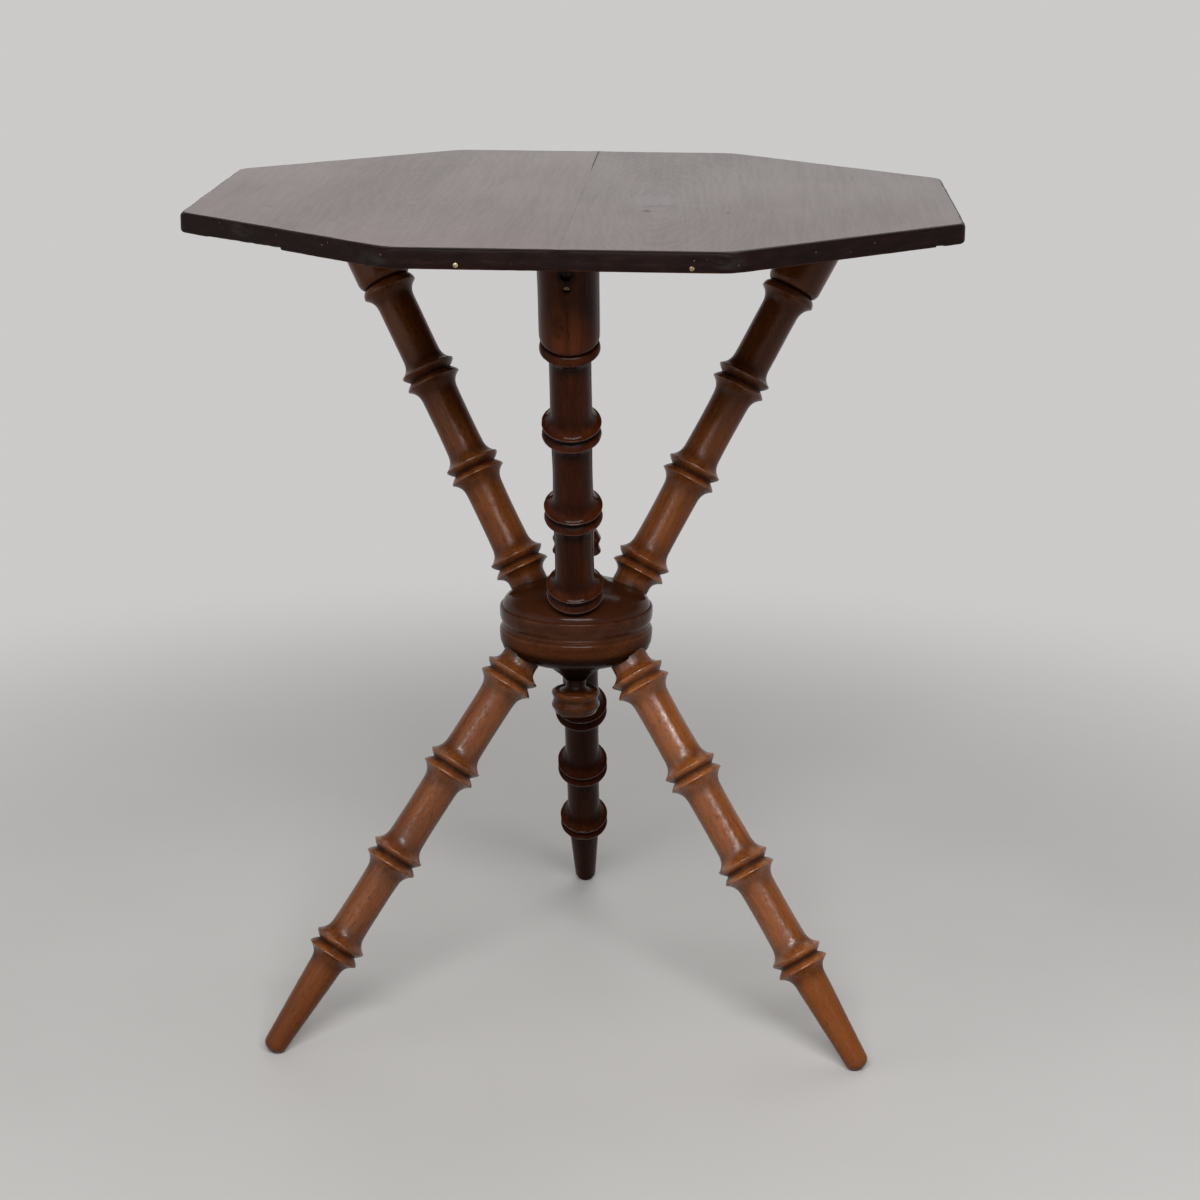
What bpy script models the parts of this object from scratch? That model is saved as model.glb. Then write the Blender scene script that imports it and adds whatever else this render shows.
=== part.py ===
"""Octagonal side table: a top of two boards on six turned sticks that meet in a boss.

Three legs and three arms are turned like bamboo canes. Their necks are glued into sockets in
the boss, which has a small turned finial above it and another below it. The arms are cut
flush under the top, and a screw and a nail hold each of them to it. Two tacks of a covering
that is gone are left in the front edge. Nothing moves.

Units are metres and +Z is up. The front faces -Y. The origin is on the floor, under the
middle of the top.
"""

import math

import bmesh
import bpy
from mathutils import Matrix, Vector

# Overall sizes
TABLE_HEIGHT = 0.650
BOSS_MID_HEIGHT = 0.315
FOOT_CIRCLE_RADIUS = 0.264

# Clearance between pieces that touch
FIT_GAP = 0.0003

# Top
TOP_ACROSS_FLATS = 0.560
TOP_FRONT_FLAT = 0.232
TOP_SIDE_FLAT = 0.256
TOP_THICKNESS = 0.0145
TOP_EDGE_ROUNDING = 0.0012
TOP_EDGE_SEGMENTS = 2
BOARD_JOINT_OFFSET = 0.001

# Boss, with heights taken from its middle groove
BOSS_RADIUS = 0.060
BOSS_GROOVE_DEPTH = 0.0022
BOSS_GROOVE_HALF_WIDTH = 0.0042
BOSS_BAND_HEIGHT = 0.0135
BOSS_BAND_BULGE = 0.0009
BOSS_DOME_HEIGHT = 0.020
BOSS_NIPPLE_BASE_RADIUS = 0.028
BOSS_NIPPLE_LENGTH = 0.0154
BOSS_NIPPLE_WALL = 0.0027
BOSS_NIPPLE_POWER = 1.2
BOSS_SIDE_OFFSET = -0.0008
BOSS_SEGMENTS = 32

# Finials
FINIAL_NECK_RADIUS = 0.0063
FINIAL_NECK_LENGTH = 0.0093
FINIAL_TENON_DEPTH = 0.024
FINIAL_RIM_RADIUS = 0.0190
FINIAL_RIM_ROUNDING = 0.0018
FINIAL_RIM_SPACING = 0.0103
FINIAL_GROOVE_DEPTH = 0.0018
FINIAL_END_RADIUS = 0.0155
FINIAL_END_LENGTH = 0.0068
FINIAL_SEGMENTS = 20

# Necks, rings and flares that legs and arms share
STICK_SEGMENTS = 16
NECK_RADIUS = 0.0148
NECK_LENGTH = 0.0168
TENON_DEPTH = 0.022
TENON_CHAMFER = 0.0015
RING_SPACING = 0.0102
RING_GROOVE_DEPTH = 0.0040
RING_SHOULDER = 0.65
FLARE_LENGTH = 0.016
FLARE_POWER = 3.6
FLARE_FRACTIONS = (0.12, 0.36, 1.0)

# Legs, with azimuths in degrees that are a little out of true
LEG_AZIMUTHS = {"leg_back": 91.1, "leg_front_left": 209.7, "leg_front_right": 329.6}
LEG_AIM_RISE = 0.042
LEG_RING_PAIRS = 4
LEG_FIRST_LIP_RADIUS = 0.0219
LEG_LAST_LIP_RADIUS = 0.0205
LEG_FIRST_SHAFT_RADIUS = 0.0149
LEG_LAST_SHAFT_RADIUS = 0.0141
FOOT_LENGTH = 0.0945
FOOT_TOP_RADIUS = 0.0126
FOOT_END_RADIUS = 0.0090
FOOT_TIP_LENGTH = 0.0070
FOOT_TIP_STEPS = 4
FOOT_WEAR = 0.0008

# Arms, with azimuths in degrees that are a little out of true, and a front arm that stands steeper
ARM_AZIMUTHS = {"front": 270.8, "back_left": 148.6, "back_right": 29.1}
FRONT_ARM_TOP_INSET = 0.0729
FRONT_ARM_AIM_DROP = 0.0429
FRONT_ARM_NECK_LENGTH = 0.0133
FRONT_CAP_LENGTH = 0.0759
BACK_ARM_TOP_INSET = 0.0502
BACK_ARM_AIM_DROP = 0.0507
BACK_CAP_LENGTH = 0.0827
ARM_RING_PAIRS = 3
ARM_LIP_RADIUS = 0.0219
ARM_SHAFT_RADIUS = 0.0152
CAP_RADIUS = 0.0217
CAP_LIP_OFFSET = 0.0068
CAP_GROOVE_DEPTH = 0.0050
CAP_SHOULDER_LENGTH = 0.0072
CAP_SHOULDER_STEPS = 3
CAP_SPARE_LENGTH = 0.030

# Screws and nails between arms and top
FASTENER_LEAN = math.radians(45)
FASTENER_SIDE_OFFSET = -0.0004
FASTENER_TIP_COVER = 0.005
FASTENER_SEGMENTS = 12
POCKET_REACH = 0.010
SCREW_FROM_TOP = 0.0143
SCREW_SUNK = 0.002
SCREW_HEAD_RADIUS = 0.0036
SCREW_HEAD_HEIGHT = 0.0024
SCREW_SHANK_RADIUS = 0.0018
SCREW_TIP_LENGTH = 0.004
SCREW_SLOT_WIDTH = 0.0008
SCREW_SLOT_DEPTH = 0.0008
NAIL_FROM_TOP = 0.0256
NAIL_SUNK = 0.0008
NAIL_HEAD_RADIUS = 0.0022
NAIL_HEAD_HEIGHT = 0.0009
NAIL_SHANK_RADIUS = 0.0011
NAIL_TIP_LENGTH = 0.003

# Tacks in the front edge
TACK_PLACES = {"edge_tack_left": -0.0675, "edge_tack_right": 0.0890}
TACK_ABOVE_UNDERSIDE = 0.0030
TACK_HEAD_RADIUS = 0.0017
TACK_HEAD_HEIGHT = 0.0009
TACK_CROWN_HEIGHT = 0.0005
TACK_SHANK_RADIUS = 0.0006
TACK_SHANK_LENGTH = 0.008
TACK_TIP_LENGTH = 0.0015

# Finishes: colour, roughness and metallic value
STAINED_TOP = ((0.055, 0.036, 0.031), 0.38, 0.0)
DARK_STICK = ((0.070, 0.026, 0.014), 0.36, 0.0)
MID_STICK = ((0.190, 0.075, 0.031), 0.36, 0.0)
LIGHT_STICK = ((0.260, 0.100, 0.036), 0.36, 0.0)
OLD_STEEL = ((0.110, 0.095, 0.080), 0.50, 1.0)
OLD_BRASS = ((0.620, 0.480, 0.230), 0.40, 1.0)

# Meshing
MERGE_DISTANCE = 1e-6
SMOOTH_ANGLE = math.radians(35)

UNDERSIDE = TABLE_HEIGHT - TOP_THICKNESS
TOP_APOTHEM = TOP_ACROSS_FLATS / 2
DOME_RADIUS = BOSS_RADIUS - BOSS_BAND_BULGE


def clear_scene():
    """Remove every object, so that the script can run in any file."""
    for item in list(bpy.data.objects):
        bpy.data.objects.remove(item, do_unlink=True)


def spread(first, last, count):
    """Evenly spaced values from first to last."""
    step = (last - first) / max(count - 1, 1)
    return [first + step * index for index in range(count)]


def quarter(steps):
    """Pairs that run along a quarter circle from (0, 0) to (1, 1), steep at the start."""
    angles = [0.5 * math.pi * index / steps for index in range(1, steps + 1)]
    return [(1 - math.cos(angle), math.sin(angle)) for angle in angles]


def finish(name, look):
    """Material of one piece."""
    colour, roughness, metallic = look
    material = bpy.data.materials.new(name + "_finish")
    material.use_nodes = True
    shader = material.node_tree.nodes["Principled BSDF"]
    shader.inputs["Base Color"].default_value = (*colour, 1.0)
    shader.inputs["Roughness"].default_value = roughness
    shader.inputs["Metallic"].default_value = metallic
    return material


def store_mesh(name, bm):
    """Turn a bmesh into a mesh that is shaded smooth over its rounded stretches."""
    bmesh.ops.recalc_face_normals(bm, faces=bm.faces)
    mesh = bpy.data.meshes.new(name)
    bm.to_mesh(mesh)
    bm.free()
    mesh.shade_smooth()
    mesh.set_sharp_from_angle(angle=SMOOTH_ANGLE)
    return mesh


def turned(profile, segments):
    """Solid of revolution about Z of (height, radius) pairs that start and end on the axis."""
    bm = bmesh.new()
    verts = [bm.verts.new((radius, 0, height)) for height, radius in profile]
    edges = [bm.edges.new(pair) for pair in zip(verts, verts[1:])]
    bmesh.ops.spin(bm, geom=verts + edges, cent=(0, 0, 0), axis=(0, 0, 1),
                   angle=math.tau, steps=segments, use_merge=True)
    bmesh.ops.remove_doubles(bm, verts=bm.verts, dist=MERGE_DISTANCE)
    return bm


def cut_level(bm, matrix, height, keep_below):
    """Cut a bmesh, which matrix places in the scene, flat at a level and close the cut."""
    to_local = matrix.inverted()
    normal = Vector((0, 0, 1 if keep_below else -1))
    bmesh.ops.bisect_plane(bm, geom=bm.verts[:] + bm.edges[:] + bm.faces[:], dist=MERGE_DISTANCE,
                           plane_co=to_local @ Vector((0, 0, height)),
                           plane_no=to_local.to_3x3() @ normal, clear_outer=True)
    bmesh.ops.holes_fill(bm, edges=[edge for edge in bm.edges if edge.is_boundary])


def add_piece(name, mesh, look, parent, location=(0, 0, 0), rotation=(0, 0, 0)):
    """Add one piece of the table with its own finish."""
    piece = bpy.data.objects.new(name, mesh)
    bpy.context.collection.objects.link(piece)
    piece.parent = parent
    piece.location = location
    piece.rotation_euler = rotation
    material = finish(name, look)
    if mesh.materials:
        piece.material_slots[0].link = "OBJECT"
        piece.material_slots[0].material = material
    else:
        mesh.materials.append(material)
    return piece


def add_cutter(name, mesh, parent, location, rotation=(0, 0, 0)):
    """Add a shape that only cuts others."""
    cutter = bpy.data.objects.new(name, mesh)
    bpy.context.collection.objects.link(cutter)
    cutter.parent = parent
    cutter.location = location
    cutter.rotation_euler = rotation
    cutter.hide_render = True
    cutter.display_type = "WIRE"
    return cutter


def cut(piece, cutter):
    """Take a cutter out of a piece."""
    modifier = piece.modifiers.new(cutter.name, "BOOLEAN")
    modifier.operation = "DIFFERENCE"
    modifier.solver = "EXACT"
    modifier.object = cutter


class StickAxis:
    """Straight axis of a leg or an arm, which starts at an aim point on the table's centre line.

    Distances run along the axis from the aim point, and tilt is the angle from +Z.
    """

    def __init__(self, aim_height, tilt):
        self.aim_height = aim_height
        self.tilt = tilt
        self.entry = self.boss_entry()

    def boss_entry(self):
        """Distance at which the axis comes out of the boss's dome."""
        rise = math.cos(self.tilt)
        run = math.sin(self.tilt)
        dome_middle = BOSS_MID_HEIGHT + math.copysign(BOSS_BAND_HEIGHT, rise)
        start = self.aim_height - dome_middle
        square = (run / DOME_RADIUS) ** 2 + (rise / BOSS_DOME_HEIGHT) ** 2
        half_linear = start * rise / BOSS_DOME_HEIGHT ** 2
        constant = (start / BOSS_DOME_HEIGHT) ** 2 - 1
        return (-half_linear + math.sqrt(half_linear ** 2 - square * constant)) / square

    def reach(self, height):
        """Distance of the axis from the table's centre line at a height."""
        return (height - self.aim_height) * math.tan(self.tilt)

    def location(self):
        """Place of the aim point."""
        return (0, 0, self.aim_height)

    def rotation(self, azimuth):
        """Turn that lays local +Z along the axis, with local +X on the stick's lower side."""
        return (0, self.tilt, math.radians(azimuth))

    def matrix(self):
        """Place and turn of a stick at azimuth 0."""
        return Matrix.Translation(self.location()) @ Matrix.Rotation(self.tilt, 4, "Y")


def leg_axis():
    """Axis of the legs, from the boss to the circle of feet on the floor."""
    aim = BOSS_MID_HEIGHT + LEG_AIM_RISE
    return StickAxis(aim, math.pi - math.atan2(FOOT_CIRCLE_RADIUS, aim))


def arm_axis(top_inset, aim_drop):
    """Axis of an arm, from the boss to the underside of the top."""
    aim = BOSS_MID_HEIGHT - aim_drop
    return StickAxis(aim, math.atan2(TOP_APOTHEM - top_inset, UNDERSIDE - aim))


def arm_axes():
    """Axes of the arms by their places."""
    front = arm_axis(FRONT_ARM_TOP_INSET, FRONT_ARM_AIM_DROP)
    back = arm_axis(BACK_ARM_TOP_INSET, BACK_ARM_AIM_DROP)
    return {"front": front, "back_left": back, "back_right": back}


def tenon(axis):
    """Profile of the round tenon, from its end in the boss to the mouth of its socket."""
    start = axis.entry - TENON_DEPTH
    return [(start, 0), (start, NECK_RADIUS - TENON_CHAMFER), (start + TENON_CHAMFER, NECK_RADIUS),
            (axis.entry, NECK_RADIUS)]


def flare(crest, lip, shaft, room):
    """Profile of the hollow sweep from a lip's crest down to a shaft, towards -Z if room is negative."""
    length = math.copysign(min(FLARE_LENGTH, abs(room)), room)
    return [(crest + length * part, shaft + (lip - shaft) * (1 - part) ** FLARE_POWER)
            for part in FLARE_FRACTIONS]


def ring_pair(middle, lip, before, after, room_before):
    """Profile of two lipped rings with a groove between them, and the flares on both sides."""
    half = RING_SPACING / 2
    groove = lip - RING_GROOVE_DEPTH
    shoulder = groove + RING_GROOVE_DEPTH * RING_SHOULDER
    points = flare(middle - half, lip, before, -room_before)[::-1]
    points += [(middle - half, lip), (middle - half / 2, shoulder), (middle, groove)]
    points += [(middle + half / 2, shoulder), (middle + half, lip)]
    points += flare(middle + half, lip, after, FLARE_LENGTH)
    return points


def stick_profile(axis, middles, lips, shafts):
    """Profile of a tenon and a row of ring pairs, with one more shaft radius than pairs."""
    profile = tenon(axis)
    neck_room = middles[0] - axis.entry - RING_SPACING / 2 - FIT_GAP
    for index, middle in enumerate(middles):
        room = neck_room if index == 0 else FLARE_LENGTH
        profile += ring_pair(middle, lips[index], shafts[index], shafts[index + 1], room)
    return profile


def leg_mesh(axis):
    """A leg with its foot worn flat on the floor."""
    lean = math.pi - axis.tilt
    drop = math.hypot(FOOT_END_RADIUS * math.sin(lean), FOOT_TIP_LENGTH * math.cos(lean))
    tip_start = (axis.aim_height - drop + FOOT_WEAR) / math.cos(lean)
    middles = spread(axis.entry + NECK_LENGTH, tip_start + FOOT_TIP_LENGTH - FOOT_LENGTH, LEG_RING_PAIRS)
    lips = spread(LEG_FIRST_LIP_RADIUS, LEG_LAST_LIP_RADIUS, LEG_RING_PAIRS)
    shafts = spread(LEG_FIRST_SHAFT_RADIUS, LEG_LAST_SHAFT_RADIUS, LEG_RING_PAIRS - 1)
    profile = stick_profile(axis, middles, lips, [NECK_RADIUS, *shafts, FOOT_TOP_RADIUS])
    profile.append((tip_start, FOOT_END_RADIUS))
    for inward, along in quarter(FOOT_TIP_STEPS)[:-1]:
        profile.append((tip_start + FOOT_TIP_LENGTH * along, FOOT_END_RADIUS * (1 - inward)))
    profile.append((tip_start + FOOT_TIP_LENGTH, 0))
    bm = turned(profile, STICK_SEGMENTS)
    cut_level(bm, axis.matrix(), 0, keep_below=False)
    return store_mesh("leg", bm)


def arm_mesh(name, axis, neck_length, cap_length):
    """An arm with its plain cap cut flush under the top."""
    end = (UNDERSIDE - axis.aim_height) / math.cos(axis.tilt)
    *middles, groove = spread(axis.entry + neck_length, end - cap_length, ARM_RING_PAIRS + 1)
    lips = [ARM_LIP_RADIUS] * ARM_RING_PAIRS
    profile = stick_profile(axis, middles, lips, [NECK_RADIUS] + [ARM_SHAFT_RADIUS] * ARM_RING_PAIRS)
    crest = groove - CAP_LIP_OFFSET
    bottom = ARM_LIP_RADIUS - CAP_GROOVE_DEPTH
    profile += flare(crest, ARM_LIP_RADIUS, ARM_SHAFT_RADIUS, -FLARE_LENGTH)[::-1]
    profile += [(crest, ARM_LIP_RADIUS), (groove, bottom)]
    for along, outward in quarter(CAP_SHOULDER_STEPS):
        profile.append((groove + CAP_SHOULDER_LENGTH * along, bottom + (CAP_RADIUS - bottom) * outward))
    profile += [(end + CAP_SPARE_LENGTH, CAP_RADIUS), (end + CAP_SPARE_LENGTH, 0)]
    bm = turned(profile, STICK_SEGMENTS)
    cut_level(bm, axis.matrix(), UNDERSIDE - FIT_GAP, keep_below=True)
    return store_mesh(name, bm)


def nipple_end():
    """Height of the nipple's end above the boss's middle."""
    base = BOSS_NIPPLE_BASE_RADIUS
    dome_rise = BOSS_DOME_HEIGHT * math.sqrt(1 - (base / DOME_RADIUS) ** 2)
    return BOSS_BAND_HEIGHT + dome_rise + BOSS_NIPPLE_LENGTH


def boss_half_profile():
    """Upper half of the boss's profile, from its middle groove to the axis at the nipple's end."""
    bottom = BOSS_RADIUS - BOSS_GROOVE_DEPTH
    band_middle = (BOSS_GROOVE_HALF_WIDTH + BOSS_BAND_HEIGHT) / 2
    end_height = nipple_end()
    end_radius = FINIAL_NECK_RADIUS + BOSS_NIPPLE_WALL
    half = [(BOSS_GROOVE_HALF_WIDTH / 3, bottom), (BOSS_GROOVE_HALF_WIDTH, DOME_RADIUS),
            (band_middle, BOSS_RADIUS), (BOSS_BAND_HEIGHT, DOME_RADIUS)]
    last = math.acos(BOSS_NIPPLE_BASE_RADIUS / DOME_RADIUS)
    dome_steps = 6
    for angle in spread(0, last, dome_steps + 1)[1:]:
        half.append((BOSS_BAND_HEIGHT + BOSS_DOME_HEIGHT * math.sin(angle), DOME_RADIUS * math.cos(angle)))
    nipple_steps = 4
    for rest in spread(1, 0, nipple_steps + 1)[1:]:
        radius = end_radius + (BOSS_NIPPLE_BASE_RADIUS - end_radius) * rest ** BOSS_NIPPLE_POWER
        half.append((end_height - BOSS_NIPPLE_LENGTH * rest, radius))
    half.append((end_height, 0))
    return half


def boss_mesh():
    """The boss before its sockets are drilled, with its middle groove at height 0."""
    half = boss_half_profile()
    profile = [(-height, radius) for height, radius in reversed(half)] + half
    return store_mesh("boss", turned(profile, BOSS_SEGMENTS))


def finial_mesh():
    """A finial that points up, with the end of the boss's nipple at height 0."""
    face = FINIAL_NECK_LENGTH
    first = face + FINIAL_RIM_ROUNDING
    second = first + FINIAL_RIM_SPACING
    end = second + FINIAL_END_LENGTH
    groove = FINIAL_RIM_RADIUS - FINIAL_GROOVE_DEPTH
    profile = [(-FINIAL_TENON_DEPTH, 0), (-FINIAL_TENON_DEPTH, FINIAL_NECK_RADIUS),
               (face, FINIAL_NECK_RADIUS),
               (face, FINIAL_RIM_RADIUS - FINIAL_RIM_ROUNDING / 2), (first, FINIAL_RIM_RADIUS),
               ((first + second) / 2, groove), (second, FINIAL_RIM_RADIUS),
               (end, FINIAL_END_RADIUS), (end, 0)]
    return store_mesh("finial", turned(profile, FINIAL_SEGMENTS))


def plain_rod(start, end, radius, segments):
    """A plain round rod along Z."""
    return store_mesh("rod", turned([(start, 0), (start, radius), (end, radius), (end, 0)], segments))


def top_corners():
    """Corners of the octagon, round from the right end of the front flat."""
    front = TOP_FRONT_FLAT / 2
    side = TOP_SIDE_FLAT / 2
    right = [(front, -TOP_APOTHEM), (TOP_APOTHEM, -side), (TOP_APOTHEM, side), (front, TOP_APOTHEM)]
    return right + [(-x, y) for x, y in reversed(right)]


def top_board_mesh(name, side):
    """One half of the top, on the side (-1 left, 1 right) of the joint."""
    bm = bmesh.new()
    bm.faces.new([bm.verts.new((x, y, UNDERSIDE)) for x, y in top_corners()])
    lifted = bmesh.ops.extrude_face_region(bm, geom=bm.faces[:])
    verts = [item for item in lifted["geom"] if isinstance(item, bmesh.types.BMVert)]
    bmesh.ops.translate(bm, verts=verts, vec=(0, 0, TOP_THICKNESS))
    bmesh.ops.bevel(bm, geom=bm.edges[:], offset=TOP_EDGE_ROUNDING, segments=TOP_EDGE_SEGMENTS,
                    profile=0.5, affect="EDGES")
    bmesh.ops.bisect_plane(bm, geom=bm.verts[:] + bm.edges[:] + bm.faces[:], dist=MERGE_DISTANCE,
                           plane_co=(BOARD_JOINT_OFFSET + side * FIT_GAP / 2, 0, 0),
                           plane_no=(-side, 0, 0), clear_outer=True)
    bmesh.ops.holes_fill(bm, edges=[edge for edge in bm.edges if edge.is_boundary])
    return store_mesh(name, bm)


class Fastener:
    """Screw or nail that runs up from the outer side of an arm's cap into the top."""

    def __init__(self, axis, from_top, sunk, head, head_height, shank, tip):
        outer = axis.reach(UNDERSIDE) + CAP_RADIUS / math.cos(axis.tilt)
        radius = outer - from_top * math.sin(axis.tilt) - sunk * math.sin(FASTENER_LEAN)
        height = UNDERSIDE - from_top * math.cos(axis.tilt) + sunk * math.cos(FASTENER_LEAN)
        self.place = Vector((radius, FASTENER_SIDE_OFFSET, height))
        self.length = (TABLE_HEIGHT - FASTENER_TIP_COVER - height) / math.cos(FASTENER_LEAN)
        self.head = head
        self.head_height = head_height
        self.shank = shank
        self.tip = tip

    def profile(self, gap, reach):
        """Profile from the head's face, grown by a gap and with its head drawn out by a reach."""
        head = self.head + gap
        shank = self.shank + gap
        length = self.length + gap
        return [(-reach, 0), (-reach, head), (0, head), (self.head_height, shank),
                (length - self.tip, shank), (length, 0)]

    def location(self, azimuth):
        """Place of the head's face on the arm at an azimuth."""
        return Matrix.Rotation(math.radians(azimuth), 3, "Z") @ self.place

    @staticmethod
    def rotation(azimuth):
        """Turn that leans local +Z up and inwards."""
        return (0, -FASTENER_LEAN, math.radians(azimuth))


def tack_profile(gap, reach):
    """Profile of a tack from its crown, grown by a gap and with its head drawn out by a reach."""
    head = TACK_HEAD_RADIUS + gap
    shank = TACK_SHANK_RADIUS + gap
    length = TACK_HEAD_HEIGHT + TACK_SHANK_LENGTH + gap
    rim = TACK_CROWN_HEIGHT if reach == 0 else 0
    return [(-reach, 0), (rim - reach, head), (TACK_HEAD_HEIGHT, head), (TACK_HEAD_HEIGHT + gap, shank),
            (length - TACK_TIP_LENGTH, shank), (length, 0)]


def slot_mesh():
    """Block that cuts the slot in a screw's head."""
    bm = bmesh.new()
    size = (3 * SCREW_HEAD_RADIUS, SCREW_SLOT_WIDTH, 2 * SCREW_SLOT_DEPTH)
    bmesh.ops.create_cube(bm, size=1, matrix=Matrix.Diagonal((*size, 1)))
    return store_mesh("slot", bm)


def boss_place(rise):
    """Place on the boss's own axis, which is a little to the left, at a rise above its middle."""
    return (BOSS_SIDE_OFFSET, 0, BOSS_MID_HEIGHT + rise)


def add_boss(table, legs, arms):
    """The boss with a socket for each stick and each finial."""
    boss = add_piece("boss", boss_mesh(), DARK_STICK, table, boss_place(0))
    sticks = [(name, legs, azimuth) for name, azimuth in LEG_AZIMUTHS.items()]
    sticks += [("arm_" + place, arms[place], azimuth) for place, azimuth in ARM_AZIMUTHS.items()]
    for name, axis, azimuth in sticks:
        start = axis.entry - TENON_DEPTH - FIT_GAP
        rod = plain_rod(start, axis.entry + NECK_RADIUS, NECK_RADIUS + FIT_GAP, STICK_SEGMENTS)
        cut(boss, add_cutter("socket_" + name, rod, table, axis.location(), axis.rotation(azimuth)))
    end = nipple_end()
    rod = plain_rod(end - FINIAL_TENON_DEPTH - FIT_GAP, end + FINIAL_NECK_LENGTH,
                    FINIAL_NECK_RADIUS + FIT_GAP, FINIAL_SEGMENTS)
    for name, turn in (("upper", 0), ("pendant", math.pi)):
        cut(boss, add_cutter("socket_" + name, rod, table, boss_place(0), (turn, 0, 0)))


def add_finials(table):
    """The finial on the boss and its twin below the boss."""
    mesh = finial_mesh()
    end = nipple_end()
    add_piece("upper_finial", mesh, DARK_STICK, table, boss_place(end))
    add_piece("pendant_finial", mesh, LIGHT_STICK, table, boss_place(-end), (math.pi, 0, 0))


def add_legs(table, axis):
    """The three legs."""
    mesh = leg_mesh(axis)
    for name, azimuth in LEG_AZIMUTHS.items():
        look = DARK_STICK if name == "leg_back" else MID_STICK
        add_piece(name, mesh, look, table, axis.location(), axis.rotation(azimuth))


def add_arms(table, axes):
    """The three arms, by the place names that their fasteners share."""
    front = arm_mesh("front_arm", axes["front"], FRONT_ARM_NECK_LENGTH, FRONT_CAP_LENGTH)
    back = arm_mesh("back_arm", axes["back_left"], NECK_LENGTH, BACK_CAP_LENGTH)
    arms = {}
    for place, azimuth in ARM_AZIMUTHS.items():
        mesh, look = (front, DARK_STICK) if place == "front" else (back, MID_STICK)
        axis = axes[place]
        arms[place] = add_piece("arm_" + place, mesh, look, table, axis.location(), axis.rotation(azimuth))
    return arms


def add_top(table):
    """The two boards of the top, left and right of their joint."""
    return [add_piece(name, top_board_mesh(name, side), STAINED_TOP, table)
            for name, side in (("top_board_left", -1), ("top_board_right", 1))]


def add_fasteners(table, axes, arms, boards):
    """A slotted screw and a nail in each arm, with their holes in the arm and in the top."""
    slot = slot_mesh()
    for place, azimuth in ARM_AZIMUTHS.items():
        screw = Fastener(axes[place], SCREW_FROM_TOP, SCREW_SUNK, SCREW_HEAD_RADIUS, SCREW_HEAD_HEIGHT,
                         SCREW_SHANK_RADIUS, SCREW_TIP_LENGTH)
        nail = Fastener(axes[place], NAIL_FROM_TOP, NAIL_SUNK, NAIL_HEAD_RADIUS, NAIL_HEAD_HEIGHT,
                        NAIL_SHANK_RADIUS, NAIL_TIP_LENGTH)
        for kind, fastener in (("screw", screw), ("nail", nail)):
            name = "arm_" + kind + "_" + place
            location = fastener.location(azimuth)
            rotation = fastener.rotation(azimuth)
            mesh = store_mesh(name, turned(fastener.profile(0, 0), FASTENER_SEGMENTS))
            piece = add_piece(name, mesh, OLD_STEEL, table, location, rotation)
            pocket = fastener.profile(FIT_GAP, POCKET_REACH)
            hole = store_mesh("hole_" + name, turned(pocket, FASTENER_SEGMENTS))
            drill = add_cutter("hole_" + name, hole, table, location, rotation)
            for wood in (arms[place], *boards):
                cut(wood, drill)
            if kind == "screw":
                cut(piece, add_cutter("slot_" + name, slot, table, location, rotation))


def add_tacks(table, boards):
    """The tacks in the front edge, sunk level with it."""
    mesh = store_mesh("tack", turned(tack_profile(0, 0), FASTENER_SEGMENTS))
    hole = store_mesh("tack_hole", turned(tack_profile(FIT_GAP, POCKET_REACH), FASTENER_SEGMENTS))
    rotation = (math.radians(-90), 0, 0)
    for name, x in TACK_PLACES.items():
        location = (x, -TOP_APOTHEM, UNDERSIDE + TACK_ABOVE_UNDERSIDE)
        add_piece(name, mesh, OLD_BRASS, table, location, rotation)
        drill = add_cutter("hole_" + name, hole, table, location, rotation)
        for board in boards:
            cut(board, drill)


def main():
    """Build the table."""
    clear_scene()
    table = bpy.data.objects.new("table", None)
    bpy.context.collection.objects.link(table)
    legs = leg_axis()
    arms = arm_axes()
    add_boss(table, legs, arms)
    add_finials(table)
    add_legs(table, legs)
    arm_pieces = add_arms(table, arms)
    boards = add_top(table)
    add_fasteners(table, arms, arm_pieces, boards)
    add_tacks(table, boards)


main()
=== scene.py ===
"""Octagonal side table: fine shapes, materials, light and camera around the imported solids.

Each wooden solid is replaced by a finer turning or board of the same size and place. The
metal solids stay as they are and get better materials. Units are metres, +Z is up and the
front faces -Y.
"""

import math

import bmesh
import bpy
import numpy as np
from mathutils import Matrix, Vector, kdtree, noise


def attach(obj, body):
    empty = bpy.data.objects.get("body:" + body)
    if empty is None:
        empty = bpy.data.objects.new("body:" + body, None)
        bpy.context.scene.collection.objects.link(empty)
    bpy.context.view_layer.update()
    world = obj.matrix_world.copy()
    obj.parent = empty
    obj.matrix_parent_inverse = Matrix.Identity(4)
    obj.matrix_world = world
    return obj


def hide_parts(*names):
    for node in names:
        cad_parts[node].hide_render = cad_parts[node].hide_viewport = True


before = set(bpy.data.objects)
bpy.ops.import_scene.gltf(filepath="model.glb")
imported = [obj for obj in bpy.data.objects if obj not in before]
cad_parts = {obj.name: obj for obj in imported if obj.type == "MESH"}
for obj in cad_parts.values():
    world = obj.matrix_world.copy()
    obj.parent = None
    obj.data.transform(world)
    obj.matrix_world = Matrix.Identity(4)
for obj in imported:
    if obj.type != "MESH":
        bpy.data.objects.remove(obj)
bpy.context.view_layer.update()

# Overall sizes, as in the part's source
TABLE_HEIGHT = 0.650
BOSS_MID_HEIGHT = 0.315
FOOT_CIRCLE_RADIUS = 0.264
FIT_GAP = 0.0003
TOP_APOTHEM = 0.280
TOP_FRONT_HALF = 0.116
TOP_SIDE_HALF = 0.128
TOP_THICKNESS = 0.0145
BOARD_JOINT_OFFSET = 0.001
UNDERSIDE = TABLE_HEIGHT - TOP_THICKNESS

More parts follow.
